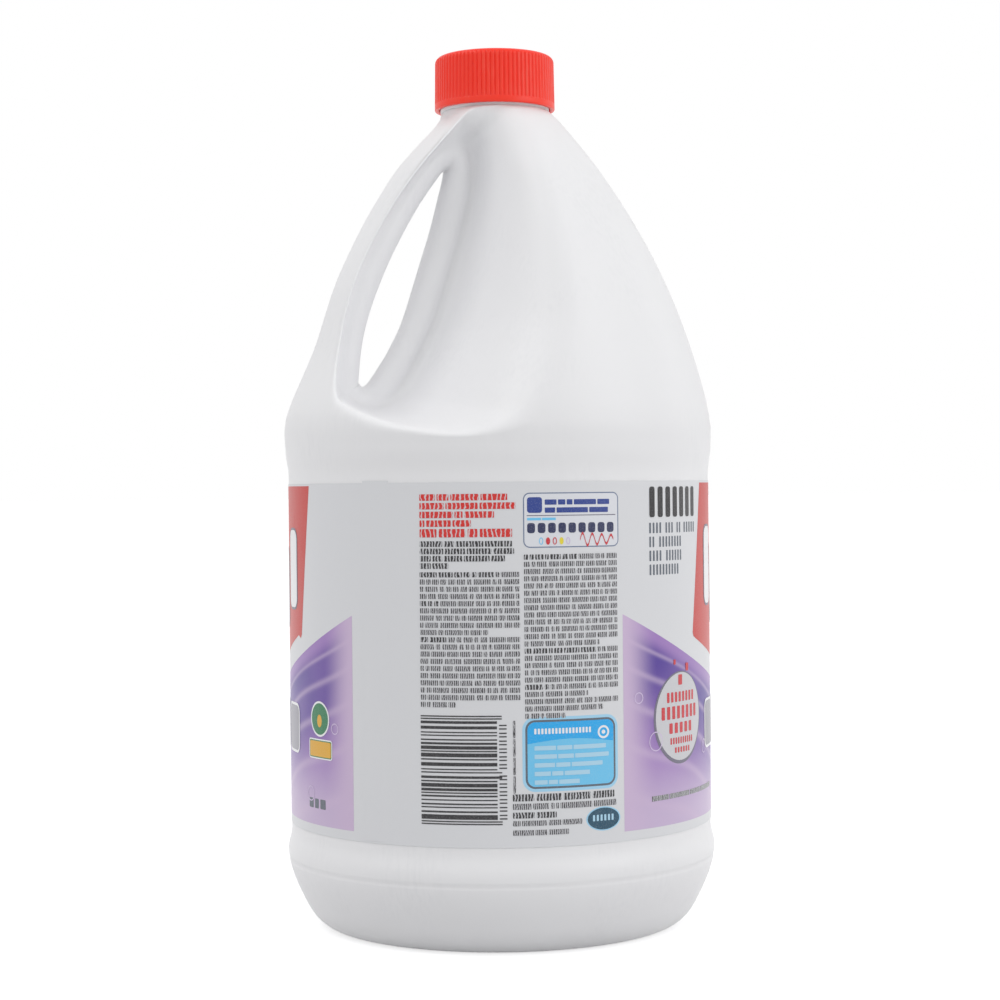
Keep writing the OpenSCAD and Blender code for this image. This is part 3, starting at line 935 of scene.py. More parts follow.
@dataclass
class ScrewCap:
    """The ribbed screw cap: plain band, grip ribs, rounded top edge and its inner thread."""

    tip_r: float = 18.65
    groove_depth: float = 0.4
    flare: float = 0.2
    bottom_z: float = 254.1
    top_z: float = 270.8
    ceiling_z: float = 269.3
    inner_r: float = 17.4
    band: float = 1.8
    edge_round: float = 2.0
    ribs: int = 84
    per_rib: int = 8

    def __post_init__(self) -> None:
        """Derives the height at which the top's rounded edge begins."""
        self.grip_top = self.top_z - self.edge_round

    def outline(self) -> list[Point]:
        """Closed outline of the cap, from the ceiling's middle round the skirt to the top's middle.

        Returns:
            Points as radius and height.
        """
        foot, bore, roof, low = self.tip_r + self.flare, self.inner_r, self.ceiling_z, self.bottom_z
        inside = [(0.0, roof), (6.0, roof), (12.0, roof), (bore - 0.3, roof), (bore, roof - 0.3)]
        inside += [(bore, roof - 0.3 - (roof - low - 0.6) * i / 5) for i in range(1, 6)]
        lip = [(bore + 0.3, low), (foot - 0.3, low), (foot - 0.09, low + 0.09), (foot, low + 0.3)]
        levels = (0.9, 1.5, self.band - 0.1, self.band + 0.05, self.band + 0.2, self.band + 0.4, 5.0, 8.0, 11.0, 13.5)
        wide = [(foot - self.flare * level / (self.grip_top - low), low + level) for level in levels]
        corner = [(self.tip_r - self.edge_round * (1 - math.cos(t)), self.grip_top + self.edge_round * math.sin(t))
                  for t in (math.pi / 2 * i / 10 for i in range(11))]
        top = [(r, self.top_z - down) for r, down in ((14.5, 0.0), (11.0, 0.0), (6.0, 0.0), (2.0, 0.0), (1.1, 0.02),
                                                      (0.8, 0.22), (0.35, 0.22), (0.0, 0.2))]
        return inside + lip + wide + corner + top

    def grip_r(self, angle: float) -> float:
        """Radius of the ribs and grooves at an angle in degrees."""
        groove = 1 - ease(0.05, 0.27, abs(angle / 360 * self.ribs % 1.0 - 0.5))
        return self.tip_r + self.flare - self.groove_depth * groove

    def build(self, plastic: bpy.types.Material) -> None:
        """Builds the cap and lets it stand for the CAD cap.

        Args:
            plastic: Its finish.
        """
        bm = bmesh.new()
        lathe(bm, self.outline(), self.ribs * self.per_rib)
        tidy_shell(bm)
        foot = self.tip_r + self.flare
        for vert in bm.verts:
            r = math.hypot(vert.co.x, vert.co.y)
            level = vert.co.z - self.bottom_z
            if r > self.inner_r + 0.5 and level > self.band:
                grip = self.grip_r(math.degrees(math.atan2(vert.co.y, vert.co.x)))
                limit = foot - (foot - grip) * ease(0.0, 0.35, level - self.band)
                limit -= self.flare * level / (self.grip_top - self.bottom_z)
                if r > limit:
                    set_radius(vert, limit)
        Thread(root_r=self.inner_r + 0.2, crest_r=self.inner_r - 1.35, start_z=THREAD_Z + THREAD_PITCH / 2,
               turns=1.25).add(bm)
        piece = place(bm, "screw_cap", plastic, "screw_cap")
        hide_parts("cap")


@dataclass
class SealingWad:
    """The foam wad under the cap's top, carried as the CAD has it."""

    node: str = "cap_liner"

    def build(self, foam: bpy.types.Material) -> None:
        """Gives the CAD wad its foam finish.

        Args:
            foam: Its finish.
        """
        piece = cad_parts[self.node]
        piece.data.materials.clear()
        piece.data.materials.append(foam)
        LOG.info("%s: foam", self.node)


# Label

class Ink(Enum):
    """Inks of the label, each with its screen colour and its layer above the film."""

    FILM = (224, 226, 232), 2
    SOLID = (34, 32, 36), 4
    BLACK = (30, 28, 32), 4
    GREY = (62, 60, 64), 4
    SLATE = (92, 100, 112), 2
    SHADE = (112, 108, 126), 3
    STEEL = (158, 156, 166), 6
    EDGE = (104, 120, 150), 1
    SILVER = (206, 206, 210), 4
    RED = (200, 36, 22), 1
    SCARLET = (212, 34, 26), 4
    CRIMSON = (206, 46, 56), 6
    SKY = (112, 200, 242), 3
    AZURE = (30, 172, 240), 4
    GLOW = (164, 214, 242), 1
    MIST = (176, 216, 238), 5
    BLUE = (36, 62, 142), 4
    NAVY = (34, 42, 84), 4
    TEAL = (22, 74, 98), 4
    GREEN = (34, 122, 78), 6
    GOLD = (228, 172, 44), 7
    YELLOW = (232, 214, 62), 4
    LILAC = (212, 194, 226), 4
    WHITE = (242, 242, 244), 5
    WASH = (160, 124, 190), 1

    def __init__(self, screen: tuple[int, int, int], layer: int) -> None:
        """Keeps the ink's colour and layer, and names it."""
        self.color, self.layer, self.label = rgb(*screen), layer, "ink_" + self.name.lower()


@dataclass
class Sheet:
    """Flat shapes of one ink, in degrees of arc from the camera side and in millimetres of height."""

    radius: float
    middle: float
    step: float = 1.5
    bm: bmesh.types.BMesh = field(default_factory=bmesh.new)

    def flat(self, angle: float) -> float:
        """Length along the label at an angle from the camera side."""
        return math.radians(angle) * self.radius

    def bar(self, a0: float, a1: float, z0: float, z1: float, corner: float = 0.0) -> None:
        """Adds an upright bar or block.

        Args:
            a0: Left end in degrees.
            a1: Right end in degrees.
            z0: Lower edge.
            z1: Upper edge.
            corner: Rounding of its corners.
        """
        x0, x1 = self.flat(a0), self.flat(a1)
        at = Matrix.Translation(((x0 + x1) / 2, (z0 + z1) / 2, 0)) @ Matrix.Diagonal((x1 - x0, z1 - z0, 1, 1))
        made = bmesh.ops.create_grid(self.bm, x_segments=1, y_segments=1, size=0.5, matrix=at)["verts"]
        if corner:
            bmesh.ops.bevel(self.bm, geom=made, offset=corner, affect="VERTICES", segments=6 if corner > 1 else 3,
                            profile=0.5, material=-1)

    def disc(self, a: float, z: float, r: float, wide: float = 1.0, rim: float = 0.0, tall: float = 1.0) -> None:
        """Adds a disc, an oval or a ring.

        Args:
            a: Its middle in degrees.
            z: Its middle height.
            r: Its radius.
            wide: How much wider than tall it is.
            rim: Width of the ring, or 0 for a full disc.
            tall: How much taller than wide it is.
        """
        at = Matrix.Translation((self.flat(a), z, 0)) @ Matrix.Diagonal((wide, tall, 1, 1))
        sides = 56 if r > 4 else 28
        made = bmesh.ops.create_circle(self.bm, cap_ends=True, segments=sides, radius=r, matrix=at)["verts"]
        if rim:
            face = made[0].link_faces[0]
            bmesh.ops.inset_region(self.bm, faces=[face], thickness=rim, use_boundary=True, use_even_offset=True)
            bmesh.ops.delete(self.bm, geom=[face], context="FACES_ONLY")

    def outline(self, points: Sequence[Point]) -> None:
        """Adds a filled shape with its corners as degrees and height."""
        self.bm.faces.new([self.bm.verts.new((self.flat(a), z, 0)) for a, z in points])

    def wrap(self) -> bmesh.types.BMesh:
        """Cuts the shapes into narrow strips and lays them round the bottle.

        Returns:
            The wrapped mesh.
        """
        span = [vert.co.x for vert in self.bm.verts]
        first = math.ceil(math.degrees(min(span) / self.radius) / self.step)
        last = math.floor(math.degrees(max(span) / self.radius) / self.step)
        for i in range(first, last + 1):
            bmesh.ops.bisect_plane(self.bm, geom=self.bm.verts[:] + self.bm.edges[:] + self.bm.faces[:], dist=1e-5,
                                   plane_co=(self.flat(i * self.step), 0, 0), plane_no=(1, 0, 0))
        for vert in self.bm.verts:
            vert.co = polar(self.radius, math.radians(self.middle) + vert.co.x / self.radius, vert.co.y)
        for face in self.bm.faces:
            face.normal_update()
            middle = face.calc_center_median()
            if face.normal.x * middle.x + face.normal.y * middle.y < 0:
                face.normal_flip()
        return self.bm


@dataclass
class WrapLabel:
    """The wrap-around label: film with its overlapping end, and its plain generic print."""

    radius: float = 65.72
    thick: float = 0.12
    low_z: float = 32.6
    high_z: float = 137.4
    middle: float = 246.0
    seam: float = 209.0
    overlap: float = 8.0
    shift: float = 0.6
    steps: int = 240
    ink_gap: float = 0.02
    row_pitch: float = 2.07
    row_tall: float = 1.46
    sheets: dict[Ink, Sheet] = field(default_factory=dict)

    def sheet(self, ink: Ink) -> Sheet:
        """Sheet of an ink, started at its first use."""
        if ink not in self.sheets:
            self.sheets[ink] = Sheet(self.radius + self.thick + self.ink_gap * ink.layer, self.middle)
        return self.sheets[ink]

    def build_film(self, film: bpy.types.Material) -> None:
        """Builds the film and its overlapping end, and lets it stand for the CAD label.

        Args:
            film: Its finish.
        """
        bm = bmesh.new()
        r0, r1 = self.radius, self.radius + self.thick
        lathe(bm, [(r0, self.low_z), (r1, self.low_z), (r1, self.high_z), (r0, self.high_z), (r0, self.low_z)],
              self.steps, self.middle)
        tidy_shell(bm)
        self.add_flap(bm)
        piece = place(bm, "label_film", film, "jug", smooth=False)
        smooth_by_angle(piece)
        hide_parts("label")

    def add_flap(self, bm: bmesh.types.BMesh) -> None:
        """Adds the outer end of the film, which lies on the inner one and tapers into it.

        Args:
            bm: Mesh that receives it.
        """
        r0, r1 = self.radius + self.thick * 0.6, self.radius + self.thick * 2
        z0, z1 = self.low_z + self.shift, self.high_z + self.shift
        flap = swept([(r0, z0), (r1, z0), (r1, z1), (r0, z1)], self.seam, self.overlap, 8)
        for vert in flap.verts:
            share = (math.degrees(math.atan2(vert.co.y, vert.co.x)) % 360 - self.seam) / self.overlap
            r = math.hypot(vert.co.x, vert.co.y)
            if r > r0 + 0.01:
                set_radius(vert, r - self.thick * 0.95 * ease(0.25, 1.0, share))
        join(bm, flap, outwards=True)

    def lines(self, ink: Ink, a0: float, a1: float, top: float, pitch: float, tall: float,
              rows: Sequence[Sequence[float]]) -> None:
        """Adds rows of short bars, the plain stand-in for print.

        Args:
            ink: Ink of the bars.
            a0: Left end in degrees.
            a1: Right end in degrees.
            top: Upper edge of the first row.
            pitch: Height from row to row.
            tall: Height of a bar.
            rows: For each row, the lengths of its bars as shares of the full width.
        """
        gap = 0.3 * tall / (math.radians(1) * self.radius)
        for i, bars in enumerate(rows):
            at = a0
            for length in bars:
                end = at + length * (a1 - a0)
                self.sheet(ink).bar(at, end - gap, top - i * pitch - tall, top - i * pitch, 0.12 * tall)
                at = end

    def column(self, a0: float, a1: float, top: float, rows: int, seed: int, leads: dict[int, float],
               ends: dict[int, float]) -> None:
        """Adds a column of stand-in small print with darker openings.

        Args:
            a0: Left end in degrees.
            a1: Right end in degrees.
            top: Upper edge of the first row.
            rows: Number of rows.
            seed: Start of the fixed sequence of lengths.
            leads: Rows that open darker, with the share that does.
            ends: Rows that stop early, with the share at which they do.
        """
        for i, bars in enumerate(self.words(seed, rows)):
            lead, limit, at = leads.get(i, 0.0), ends.get(i, 1.0), 0.0
            for length in bars:
                stop = min(at + length, limit)
                if stop - at > 0.02:
                    z = top - self.row_pitch * i
                    self.sheet(Ink.BLACK if at < lead else Ink.GREY).bar(
                        a0 + (a1 - a0) * at, a0 + (a1 - a0) * stop - 0.42, z - self.row_tall, z, 0.15)
                at = stop

    def pickets(self, ink: Ink, a0: float, a1: float, z0: float, z1: float, count: int, share: float = 0.66,
                corner: float = 0.15) -> None:
        """Adds a row of equal narrow upright bars.

        Args:
            ink: Ink of the bars.
            a0: Left end in degrees.
            a1: Right end in degrees.
            z0: Lower edge.
            z1: Upper edge.
            count: Number of bars.
            share: How much of its place a bar fills.
            corner: Rounding of the corners.
        """
        pitch = (a1 - a0) / count
        for i in range(count):
            self.sheet(ink).bar(a0 + i * pitch, a0 + (i + share) * pitch, z0, z1, corner)

    def framed(self, rim: Ink, face: Ink, a0: float, a1: float, z0: float, z1: float, wide: float,
               corner: float) -> None:
        """Adds a rounded block with an even rim.

        Args:
            rim: Ink of the rim.
            face: Ink of the block.
            a0: Left end of the rim in degrees.
            a1: Right end of the rim in degrees.
            z0: Lower edge of the rim.
            z1: Upper edge of the rim.
            wide: Width of the rim.
            corner: Rounding of the rim's corners.
        """
        part = math.degrees(wide / self.radius)
        self.sheet(rim).bar(a0, a1, z0, z1, corner)
        self.sheet(face).bar(a0 + part, a1 - part, z0 + wide, z1 - wide, max(corner - wide, 0.1))

    def words(self, seed: int, rows: int, low: float = 0.05, high: float = 0.2) -> list[list[float]]:
        """Lengths of the bars in rows of stand-in print, from a fixed sequence.

        Args:
            seed: Start of the sequence.
            rows: Number of rows.
            low: Shortest bar as a share of the row.
            high: Longest bar as a share of the row.

        Returns:
            The lengths for each row.
        """
        made: list[list[float]] = []
        for _ in range(rows):
            bars: list[float] = []
            while sum(bars) < 1.0 - low:
                seed = (seed * SERIES_FACTOR + SERIES_STEP) % SERIES_SPAN
                bars.append(min(low + (high - low) * (seed / SERIES_SPAN) ** 1.6, 1.0 - sum(bars)))
            made.append([bar / sum(bars) for bar in bars])
        return made

    def draw_notes(self) -> None:
        """Draws the two columns of stand-in print between the front panels."""
        head, foot = (-20.2, 5.2), (2.9, 30.9)
        self.lines(Ink.SCARLET, *head, 134.0, 2.5, 1.85,
                   [[0.18, 0.14, 0.3, 0.28], [0.27, 0.34, 0.37], [0.36, 0.1, 0.31], [0.07, 0.27, 0.2]])
        self.lines(Ink.SCARLET, *head, 124.0, 2.5, 2.4, [[0.2, 0.29, 0.12, 0.34]])
        self.lines(Ink.BLACK, *head, 120.5, 2.1, 1.62,
                   [[0.25, 0.12, 0.29, 0.28], [0.26, 0.22, 0.26, 0.22], [0.13, 0.12, 0.2, 0.27, 0.15], [0.13, 0.18]])
        self.column(-20.3, 5.5, 111.6, 19, 31, {0: 0.66, 4: 0.19, 9: 0.18}, {8: 0.69, 18: 0.37})
        self.column(6.2, 31.6, 116.5, 23, 47, {0: 0.5, 13: 0.66, 18: 0.26}, {12: 0.79, 19: 0.66, 21: 0.84, 22: 0.42})
        self.lines(Ink.BLACK, *foot, 47.9, 3.0, 2.0, [[0.21, 0.25, 0.28, 0.24]])
        self.lines(Ink.GREY, *foot, 45.2, 2.9, 1.7, [[0.18, 0.16, 0.05, 0.04, 0.32, 0.25]])
        self.lines(Ink.BLACK, *foot, 42.7, 2.6, 1.7, [[0.21, 0.2]])
        self.lines(Ink.GREY, *foot, 40.3, 2.7, 1.5, [[0.08, 0.24, 0.13, 0.2], [0.2, 0.12, 0.2]])

    def draw_upper_box(self) -> None:
        """Draws the framed box at the top of the right column."""
        self.framed(Ink.EDGE, Ink.FILM, 6.1, 31.8, 118.4, 134.2, 0.32, 1.9)
        self.sheet(Ink.BLUE).bar(7.1, 10.9, 128.4, 132.9, 0.8)
        self.lines(Ink.BLUE, 11.6, 30.6, 132.2, 2.3, 1.5, [[0.18, 0.12, 0.1, 0.34, 0.2], [0.16, 0.46, 0.3]])
        self.sheet(Ink.SHADE).bar(7.0, 30.9, 127.5, 127.75)
        self.lines(Ink.SKY, 7.1, 14.6, 127.0, 1.0, 0.75, [[0.5, 0.5]])
        self.pickets(Ink.NAVY, 7.1, 31.0, 122.6, 125.5, 9, 0.74, 0.7)
        for i, ink in enumerate((Ink.SKY, Ink.CRIMSON, Ink.CRIMSON, Ink.YELLOW, Ink.LILAC)):
            self.sheet(ink).disc(10.6 + 1.75 * i, 120.3, 0.62, rim=0.0 if i % 2 else 0.25, tall=1.7)
        self.ribbon(Ink.CRIMSON, 20.8, 30.2, 120.6, 1.9, 3.5, 0.75)

    def draw_lower_box(self) -> None:
        """Draws the blue box and the dark oval below it."""
        left, right, low, high, rim = 5.4, 31.0, 48.5, 69.9, 1.45
        part = math.degrees(rim / self.radius)
        self.framed(Ink.GLOW, Ink.SLATE, left, right, low, high, 0.85, 3.6)
        self.sheet(Ink.SKY).bar(left + part, right - part, low + rim, high - rim, 2.2)
        edge = [(left + part + 0.02 + 22.9 * i / 16, 62.2 + 1.3 * math.sin(math.pi * i / 16)) for i in range(17)]
        self.sheet(Ink.AZURE).outline(edge + [(29.73, 66.6), (29.2, 67.8), (28.2, 68.43), (8.2, 68.43), (7.2, 67.8),
                                              (6.7, 66.6)])
        self.pickets(Ink.WHITE, 8.4, 23.6, 65.0, 66.6, 17, 0.6)
        for k, end in enumerate((27.8, 28.6, 26.8, 23.2, 20.4)):
            self.lines(Ink.MIST, 8.4, end, 61.6 - 2.45 * k, 1.0, 1.25, [[0.3, 0.22, 0.48]])
        self.sheet(Ink.WHITE).disc(26.8, 64.9, 1.9, rim=0.6)
        self.sheet(Ink.WHITE).disc(26.8, 64.9, 0.6)
        self.sheet(Ink.GLOW).disc(26.7, 39.8, 3.5, 1.62)
        self.sheet(Ink.TEAL).disc(26.7, 39.8, 3.15, 1.66)
        self.pickets(Ink.MIST, 23.6, 30.0, 39.2, 41.0, 6, 0.55)

    def draw_bars(self) -> None:
        """Draws the block of plain bars, with short marks beside it."""
        top, tall, black = 70.5, 31.3, self.sheet(Ink.SOLID)
        bars = (0.35, 0.35, 0.75, 0.85, 0.35, 0.35, 0.4, 0.6, 0.95, 0.35, 1.1, 0.4, 1.0, 0.35, 0.35, 0.7, 0.4, 1.05,
                0.75, 0.35, 0.5, 0.35, 0.45, 0.35, 0.5, 1.35, 0.35, 0.35)
        spaces = (0.4, 0.5, 0.75, 0.8, 0.55, 0.9, 0.6, 0.45, 0.4)
        spread = (tall - sum(bars)) / sum(spaces[i % len(spaces)] for i in range(len(bars) - 1))
        for i, thick in enumerate(bars):
            black.bar(-20.4, 0.3 if i in (0, 1, 14, 15, 26, 27) else -0.9, top - thick, top)
            top -= thick + spaces[i % len(spaces)] * spread
        for k in range(12):
            for z in (67.9 - 2.25 * k, 66.9 - 2.25 * k):
                black.bar(-0.4, 1.5, z - 0.36 - (k > 5), z - (k > 5))
        self.lines(Ink.GREY, 3.1, 4.5, 69.0, 5.3, 4.9, [[1.3]] * 4)

    def crest(self, share: float) -> float:
        """Height of the wash's upper edge at a share of the way across a front panel."""
        return CREST_TOP - CREST_DIP * math.sin(math.pi * share)

    def ribbon(self, ink: Ink, a0: float, a1: float, z: float, swing: float, turns: float, wide: float) -> None:
        """Adds a wavy line.

        Args:
            ink: Its ink.
            a0: Left end in degrees.
            a1: Right end in degrees.
            z: Middle height.
            swing: Height of its waves.
            turns: Number of waves.
            wide: Width of the line.
        """
        path = [(a0 + (a1 - a0) * i / 56, z + swing * math.sin(2 * math.pi * turns * i / 56) * (1 - 0.4 * i / 56))
                for i in range(57)]
        sheet = self.sheet(ink)
        for (a, low), (b, high) in zip(path, path[1:]):
            sheet.outline([(a, low - wide / 2), (b, high - wide / 2), (b, high + wide / 2), (a, low + wide / 2)])

    def draw_front(self, left: float) -> None:
        """Draws one front panel: wash, red banner with white pills, roundel, emblem and rows.

        Args:
            left: Left end of the panel in degrees.
        """
        wide, steps = PANEL_WIDE, 95
        top = [(left + wide * i / steps, self.crest(i / steps)) for i in range(steps + 1)]
        self.sheet(Ink.WASH).outline([(left, 35.4), (left + wide, 35.4)] + top[::-1])
        low = [(left + 31.5 + 84.5 * i / 40, 6.8 + self.crest((31.5 + 84.5 * i / 40) / wide)) for i in range(41)]
        self.sheet(Ink.RED).outline([(left + 35.1, 136.7), (left + 29.1, 91.6), (left + 29.6, 90.4)] + low
                                    + [(left + 117.8, 90.6), (left + 118.6, 91.8), (left + 124.3, 136.7)])
        end, short, tall = (99, 124), (93, 118), (93, 129)
        for k, (z0, z1) in enumerate((end, short, tall, short, tall, short, end)):
            a = left + 38.4 + 11.3 * k
            self.framed(Ink.SHADE, Ink.WHITE, a, a + 9.2, z0, z1, 0.7, 3.6)
        for a, r, z in ((5.0, 1.7, 22), (11.0, 2.9, 32), (25.0, 1.3, 18), (37.0, 2.2, 24), (48.0, 1.5, 12),
                        (63.0, 2.4, 9), (84.0, 1.6, 8), (98.0, 2.6, 12), (112.0, 1.6, 18), (124.0, 2.3, 44),
                        (136.0, 1.7, 30)):
            self.sheet(Ink.LILAC).disc(left + a, self.crest(a / wide) - z, r, rim=0.32)
        self.sheet(Ink.SHADE).disc(left + 21.7, 66.8, 13.8, 0.96)
        self.sheet(Ink.SILVER).disc(left + 21.9, 67.1, 13.1, 0.96)
        for a0, a1, z, tall, count in ((15.5, 29.5, 73.0, 3.0, 8), (13.2, 31.2, 68.4, 3.8, 8),
                                       (16.4, 28.4, 63.8, 3.1, 5), (16.8, 28.4, 60.0, 2.0, 10),
                                       (18.8, 26.8, 57.2, 1.7, 6)):
            self.pickets(Ink.CRIMSON, left + a0, left + a1, z - tall / 2, z + tall / 2, count, 0.6, 0.3)
        for a, z, size in ((21.6, 78.0, 2.2), (25.2, 81.6, 1.7), (19.0, 83.4, 1.1)):
            part = math.degrees(size / self.radius)
            self.sheet(Ink.CRIMSON).bar(left + a - part / 2, left + a + part / 2, z - size * 0.7, z + size * 0.7, 0.3)
        for k in range(6):
            a = left + 38.0 + 13.3 * k
            self.framed(Ink.WHITE, Ink.STEEL, a, a + 11.8, 55.4, 70.6, 0.8, 2.8)
        self.sheet(Ink.WHITE).disc(left + 129.1, 67.2, 5.3)
        self.sheet(Ink.GREEN).disc(left + 129.1, 67.2, 4.7)
        self.sheet(Ink.GOLD).disc(left + 129.1, 66.6, 1.9, 0.7)
        self.framed(Ink.WHITE, Ink.GREEN, left + 123.3, left + 134.9, 55.2, 61.2, 0.4, 0.9)
        self.sheet(Ink.GOLD).bar(left + 123.9, left + 134.3, 55.9, 60.5, 0.5)
        self.pickets(Ink.SOLID, left + 9.3, left + 31.6, 126.6, 135.6, 7, 0.62, 0.7)
        for top, spans in ((125.0, ((9.2, 14.4, 4), (15.6, 19.4, 3), (20.6, 23.0, 2), (24.2, 31.2, 5))),
                           (120.9, ((9.2, 11.6, 2), (13.0, 23.3, 8))), (116.8, ((9.2, 14.4, 4), (15.8, 23.4, 6))),
                           (112.7, ((9.2, 21.9, 10),))):
            for a0, a1, count in spans:
                self.pickets(Ink.SLATE, left + a0, left + a1, top - 3.1, top, count, 0.5, 0.2)
        self.lines(Ink.GREY, left + 9.3, left + 45.0, 44.6, 3.0, 1.5, [[0.2, 0.28, 0.2, 0.32]])
        self.lines(Ink.SLATE, left + 123.0, left + 132.4, 43.2, 3.0, 2.9, [[0.34, 0.3, 0.36]])

    def build(self, film: bpy.types.Material, inks: dict[Ink, bpy.types.Material]) -> None:
        """Builds the film and prints every ink on it.

        Args:
            film: Finish of the film.
            inks: Finish of each ink.
        """
        self.build_film(film)
        for left in PANEL_LEFTS:
            self.draw_front(left)
        for draw in (self.draw_notes, self.draw_upper_box, self.draw_lower_box, self.draw_bars):
            draw()
        for ink, sheet in self.sheets.items():
            place(sheet.wrap(), "label_" + ink.label, inks[ink], "jug")


def smooth_by_angle(piece: bpy.types.Object, limit: float = 30.0) -> None:
    """Shades a piece smooth, with edges sharper than the limit kept crisp.

    Args:
        piece: The piece.
        limit: Angle in degrees above which an edge stays sharp.
    """
    bm = bmesh.new()
    bm.from_mesh(piece.data)
    for face in bm.faces:
        face.smooth = True
    for edge in bm.edges:
        edge.smooth = len(edge.link_faces) == 2 and edge.calc_face_angle(0.0) < math.radians(limit)
    bm.to_mesh(piece.data)
    bm.free()


# Studio

@dataclass(frozen=True)
class SweepPaper:
    """Pale studio floor that reads white to the camera and keeps a soft shadow."""

    color: Color = (0.57, 0.57, 0.575, 1.0)
    lift: float = 0.66

    def build(self) -> bpy.types.Material:
        """Makes the material.

        Returns:
            The material.
        """
        material = bpy.data.materials.new("sweep_paper")
        material.use_nodes = True
        n = Nodes(material.node_tree)
        n.tree.nodes.clear()
        paper = n.add("ShaderNodeBsdfDiffuse", {"Color": self.color})
        n.relief(paper, n.noise(n.where(), 800.0), 0.0001, 0.3)
        path = n.add("ShaderNodeLightPath").outputs
        seen = n.math("MAXIMUM", n.math("MAXIMUM", path["Is Camera Ray"], path["Is Glossy Ray"]),
                      path["Is Transmission Ray"])
        glow = n.add("ShaderNodeEmission", {"Strength": n.times(seen, self.lift)})
        both = n.add("ShaderNodeAddShader", {0: paper.outputs[0], 1: glow.outputs[0]})
        n.add("ShaderNodeOutputMaterial", {"Surface": both.outputs[0]})
        return material


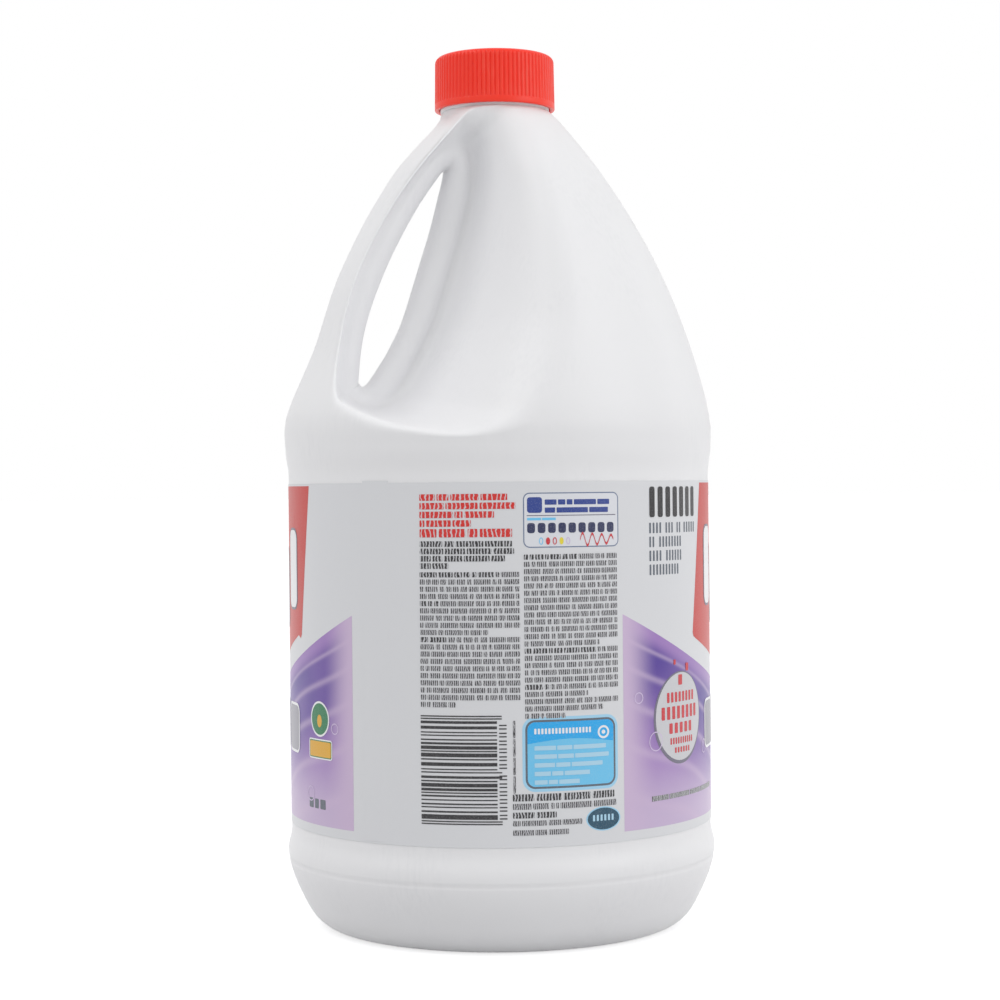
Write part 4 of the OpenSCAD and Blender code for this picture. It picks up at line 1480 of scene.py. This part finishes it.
@dataclass
class Studio:
    """Floor, soft lamps, world and the camera at the photograph's place."""

    distance: float = 0.709
    azimuth: float = -24.0
    eye_z: float = 0.1359
    pitch: float = -0.331
    yaw: float = -0.04
    roll: float = -0.545
    view_angle: float = 25.05
    world_level: float = 0.81

    def around(self, turn: float, distance: float, z: float) -> Vector:
        """Point round the bottle, turned from the camera's side.

        Args:
            turn: Degrees to the camera's right.
            distance: Distance from the axis.
            z: Height.

        Returns:
            The point.
        """
        a = math.radians(self.azimuth + turn)
        return Vector((math.sin(a) * distance, -math.cos(a) * distance, z))

    def add_camera(self) -> None:
        """Places the camera."""
        data = bpy.data.cameras.new("camera")
        data.sensor_fit = "HORIZONTAL"
        data.sensor_width = 36.0
        data.angle = math.radians(self.view_angle)
        data.clip_start, data.clip_end = 0.02, 60.0
        camera = put("camera", data)
        heading = Matrix.Rotation(math.radians(self.azimuth), 4, "Z")
        tilt = (Matrix.Rotation(math.radians(self.yaw), 4, "Z") @ Matrix.Rotation(math.radians(90 + self.pitch), 4, "X")
                @ Matrix.Rotation(math.radians(self.roll), 4, "Z"))
        camera.matrix_world = Matrix.Translation(self.around(0, self.distance, self.eye_z)) @ heading @ tilt
        bpy.context.scene.camera = camera

    def add_lamp(self, name: str, turn: float, distance: float, z: float, size: tuple[float, float],
                 power: float, aim_z: float = 0.14) -> None:
        """Adds a soft box aimed at the bottle.

        Args:
            name: Name of the lamp.
            turn: Degrees to the camera's right.
            distance: Distance from the axis.
            z: Height.
            size: Width and height of the box.
            power: Power in watts.
            aim_z: Height that it points at.
        """
        data = bpy.data.lights.new(name, "AREA")
        data.shape = "RECTANGLE"
        data.size, data.size_y = size
        data.energy = power
        lamp = put(name, data)
        lamp.location = self.around(turn, distance, z)
        lamp.rotation_euler = (lamp.location - Vector((0, 0, aim_z))).to_track_quat("Z", "Y").to_euler()

    def add_world(self) -> None:
        """Lights the room evenly, and shows white behind the floor."""
        world = bpy.data.worlds.new("studio")
        world.use_nodes = True
        bpy.context.scene.world = world
        n = Nodes(world.node_tree)
        path = n.add("ShaderNodeLightPath").outputs
        seen = n.math("MAXIMUM", path["Is Camera Ray"], path["Is Transmission Ray"])
        level = n.plus(n.times(seen, 1.0 - self.world_level), self.world_level)
        n.feed(n.tree.nodes["Background"], {"Color": (1, 1, 1, 1), "Strength": level})

    def add_floor(self) -> None:
        """Lays the floor."""
        bm = bmesh.new()
        bmesh.ops.create_circle(bm, cap_ends=True, segments=96, radius=30.0)
        bmesh.ops.inset_region(bm, faces=bm.faces[:], thickness=28.0)
        mesh = bpy.data.meshes.new("floor")
        bm.to_mesh(mesh)
        bm.free()
        floor = put("floor", mesh)
        mesh.materials.append(SweepPaper().build())

    def build(self) -> None:
        """Sets up the whole studio."""
        self.add_camera()
        self.add_floor()
        self.add_world()
        self.add_lamp("key_box", 62, 1.25, 0.75, (0.9, 1.2), 4.6)
        self.add_lamp("left_box", -70, 0.8, 1.1, (0.8, 0.8), 2.9)
        self.add_lamp("rear_box", 118, 1.2, 0.45, (0.5, 0.8), 0.5)
        bpy.context.scene.view_settings.view_transform = "Standard"


def ink_finishes() -> dict[Ink, bpy.types.Material]:
    """Builds the finish of every ink.

    Returns:
        The materials by ink.
    """
    film, pale = rgb(214, 215, 219), (0.75, 0.75, 0.77, 1.0)
    fine = {Ink.BLACK: (film, 0.0009, 0.05), Ink.GREY: (film, 0.00062, -0.1), Ink.SCARLET: (film, 0.0013, 0.35)}
    made = {ink: LabelFilm(ink.label, ink.color, 0.34, {"IOR": 1.5}, 0.08, *fine.get(ink, (pale,))).build()
            for ink in Ink if ink is not Ink.WASH}
    made[Ink.WASH] = WashInk(Ink.WASH.label, Ink.WASH.color, 0.34, {"IOR": 1.5}).build()
    return made


def main() -> None:
    """Builds the bottle, its closure and its label, then the studio."""
    logging.basicConfig(level=logging.INFO, format="%(name)s %(message)s")
    bottle_white = BottlePlastic("bottle_white_plastic", rgb(241, 241, 243), 0.4,
                                 {"IOR": 1.52, "Subsurface Weight": 0.3, "Subsurface Radius": (1.0, 1.0, 1.0),
                                  "Subsurface Scale": 0.002})
    cap_red = CapPlastic("cap_red_plastic", rgb(255, 46, 20), 0.34, {"IOR": 1.46})
    foam = WadFoam("wad_foam", rgb(240, 240, 236), 0.8)
    film = LabelFilm("label_white_film", rgb(221, 222, 225), 0.36, {"IOR": 1.5})
    BottleShell().build(bottle_white.build())
    ScrewCap().build(cap_red.build())
    SealingWad().build(foam.build())
    WrapLabel().build(film.build(), ink_finishes())
    Studio().build()


if __name__ == "__main__":
    main()
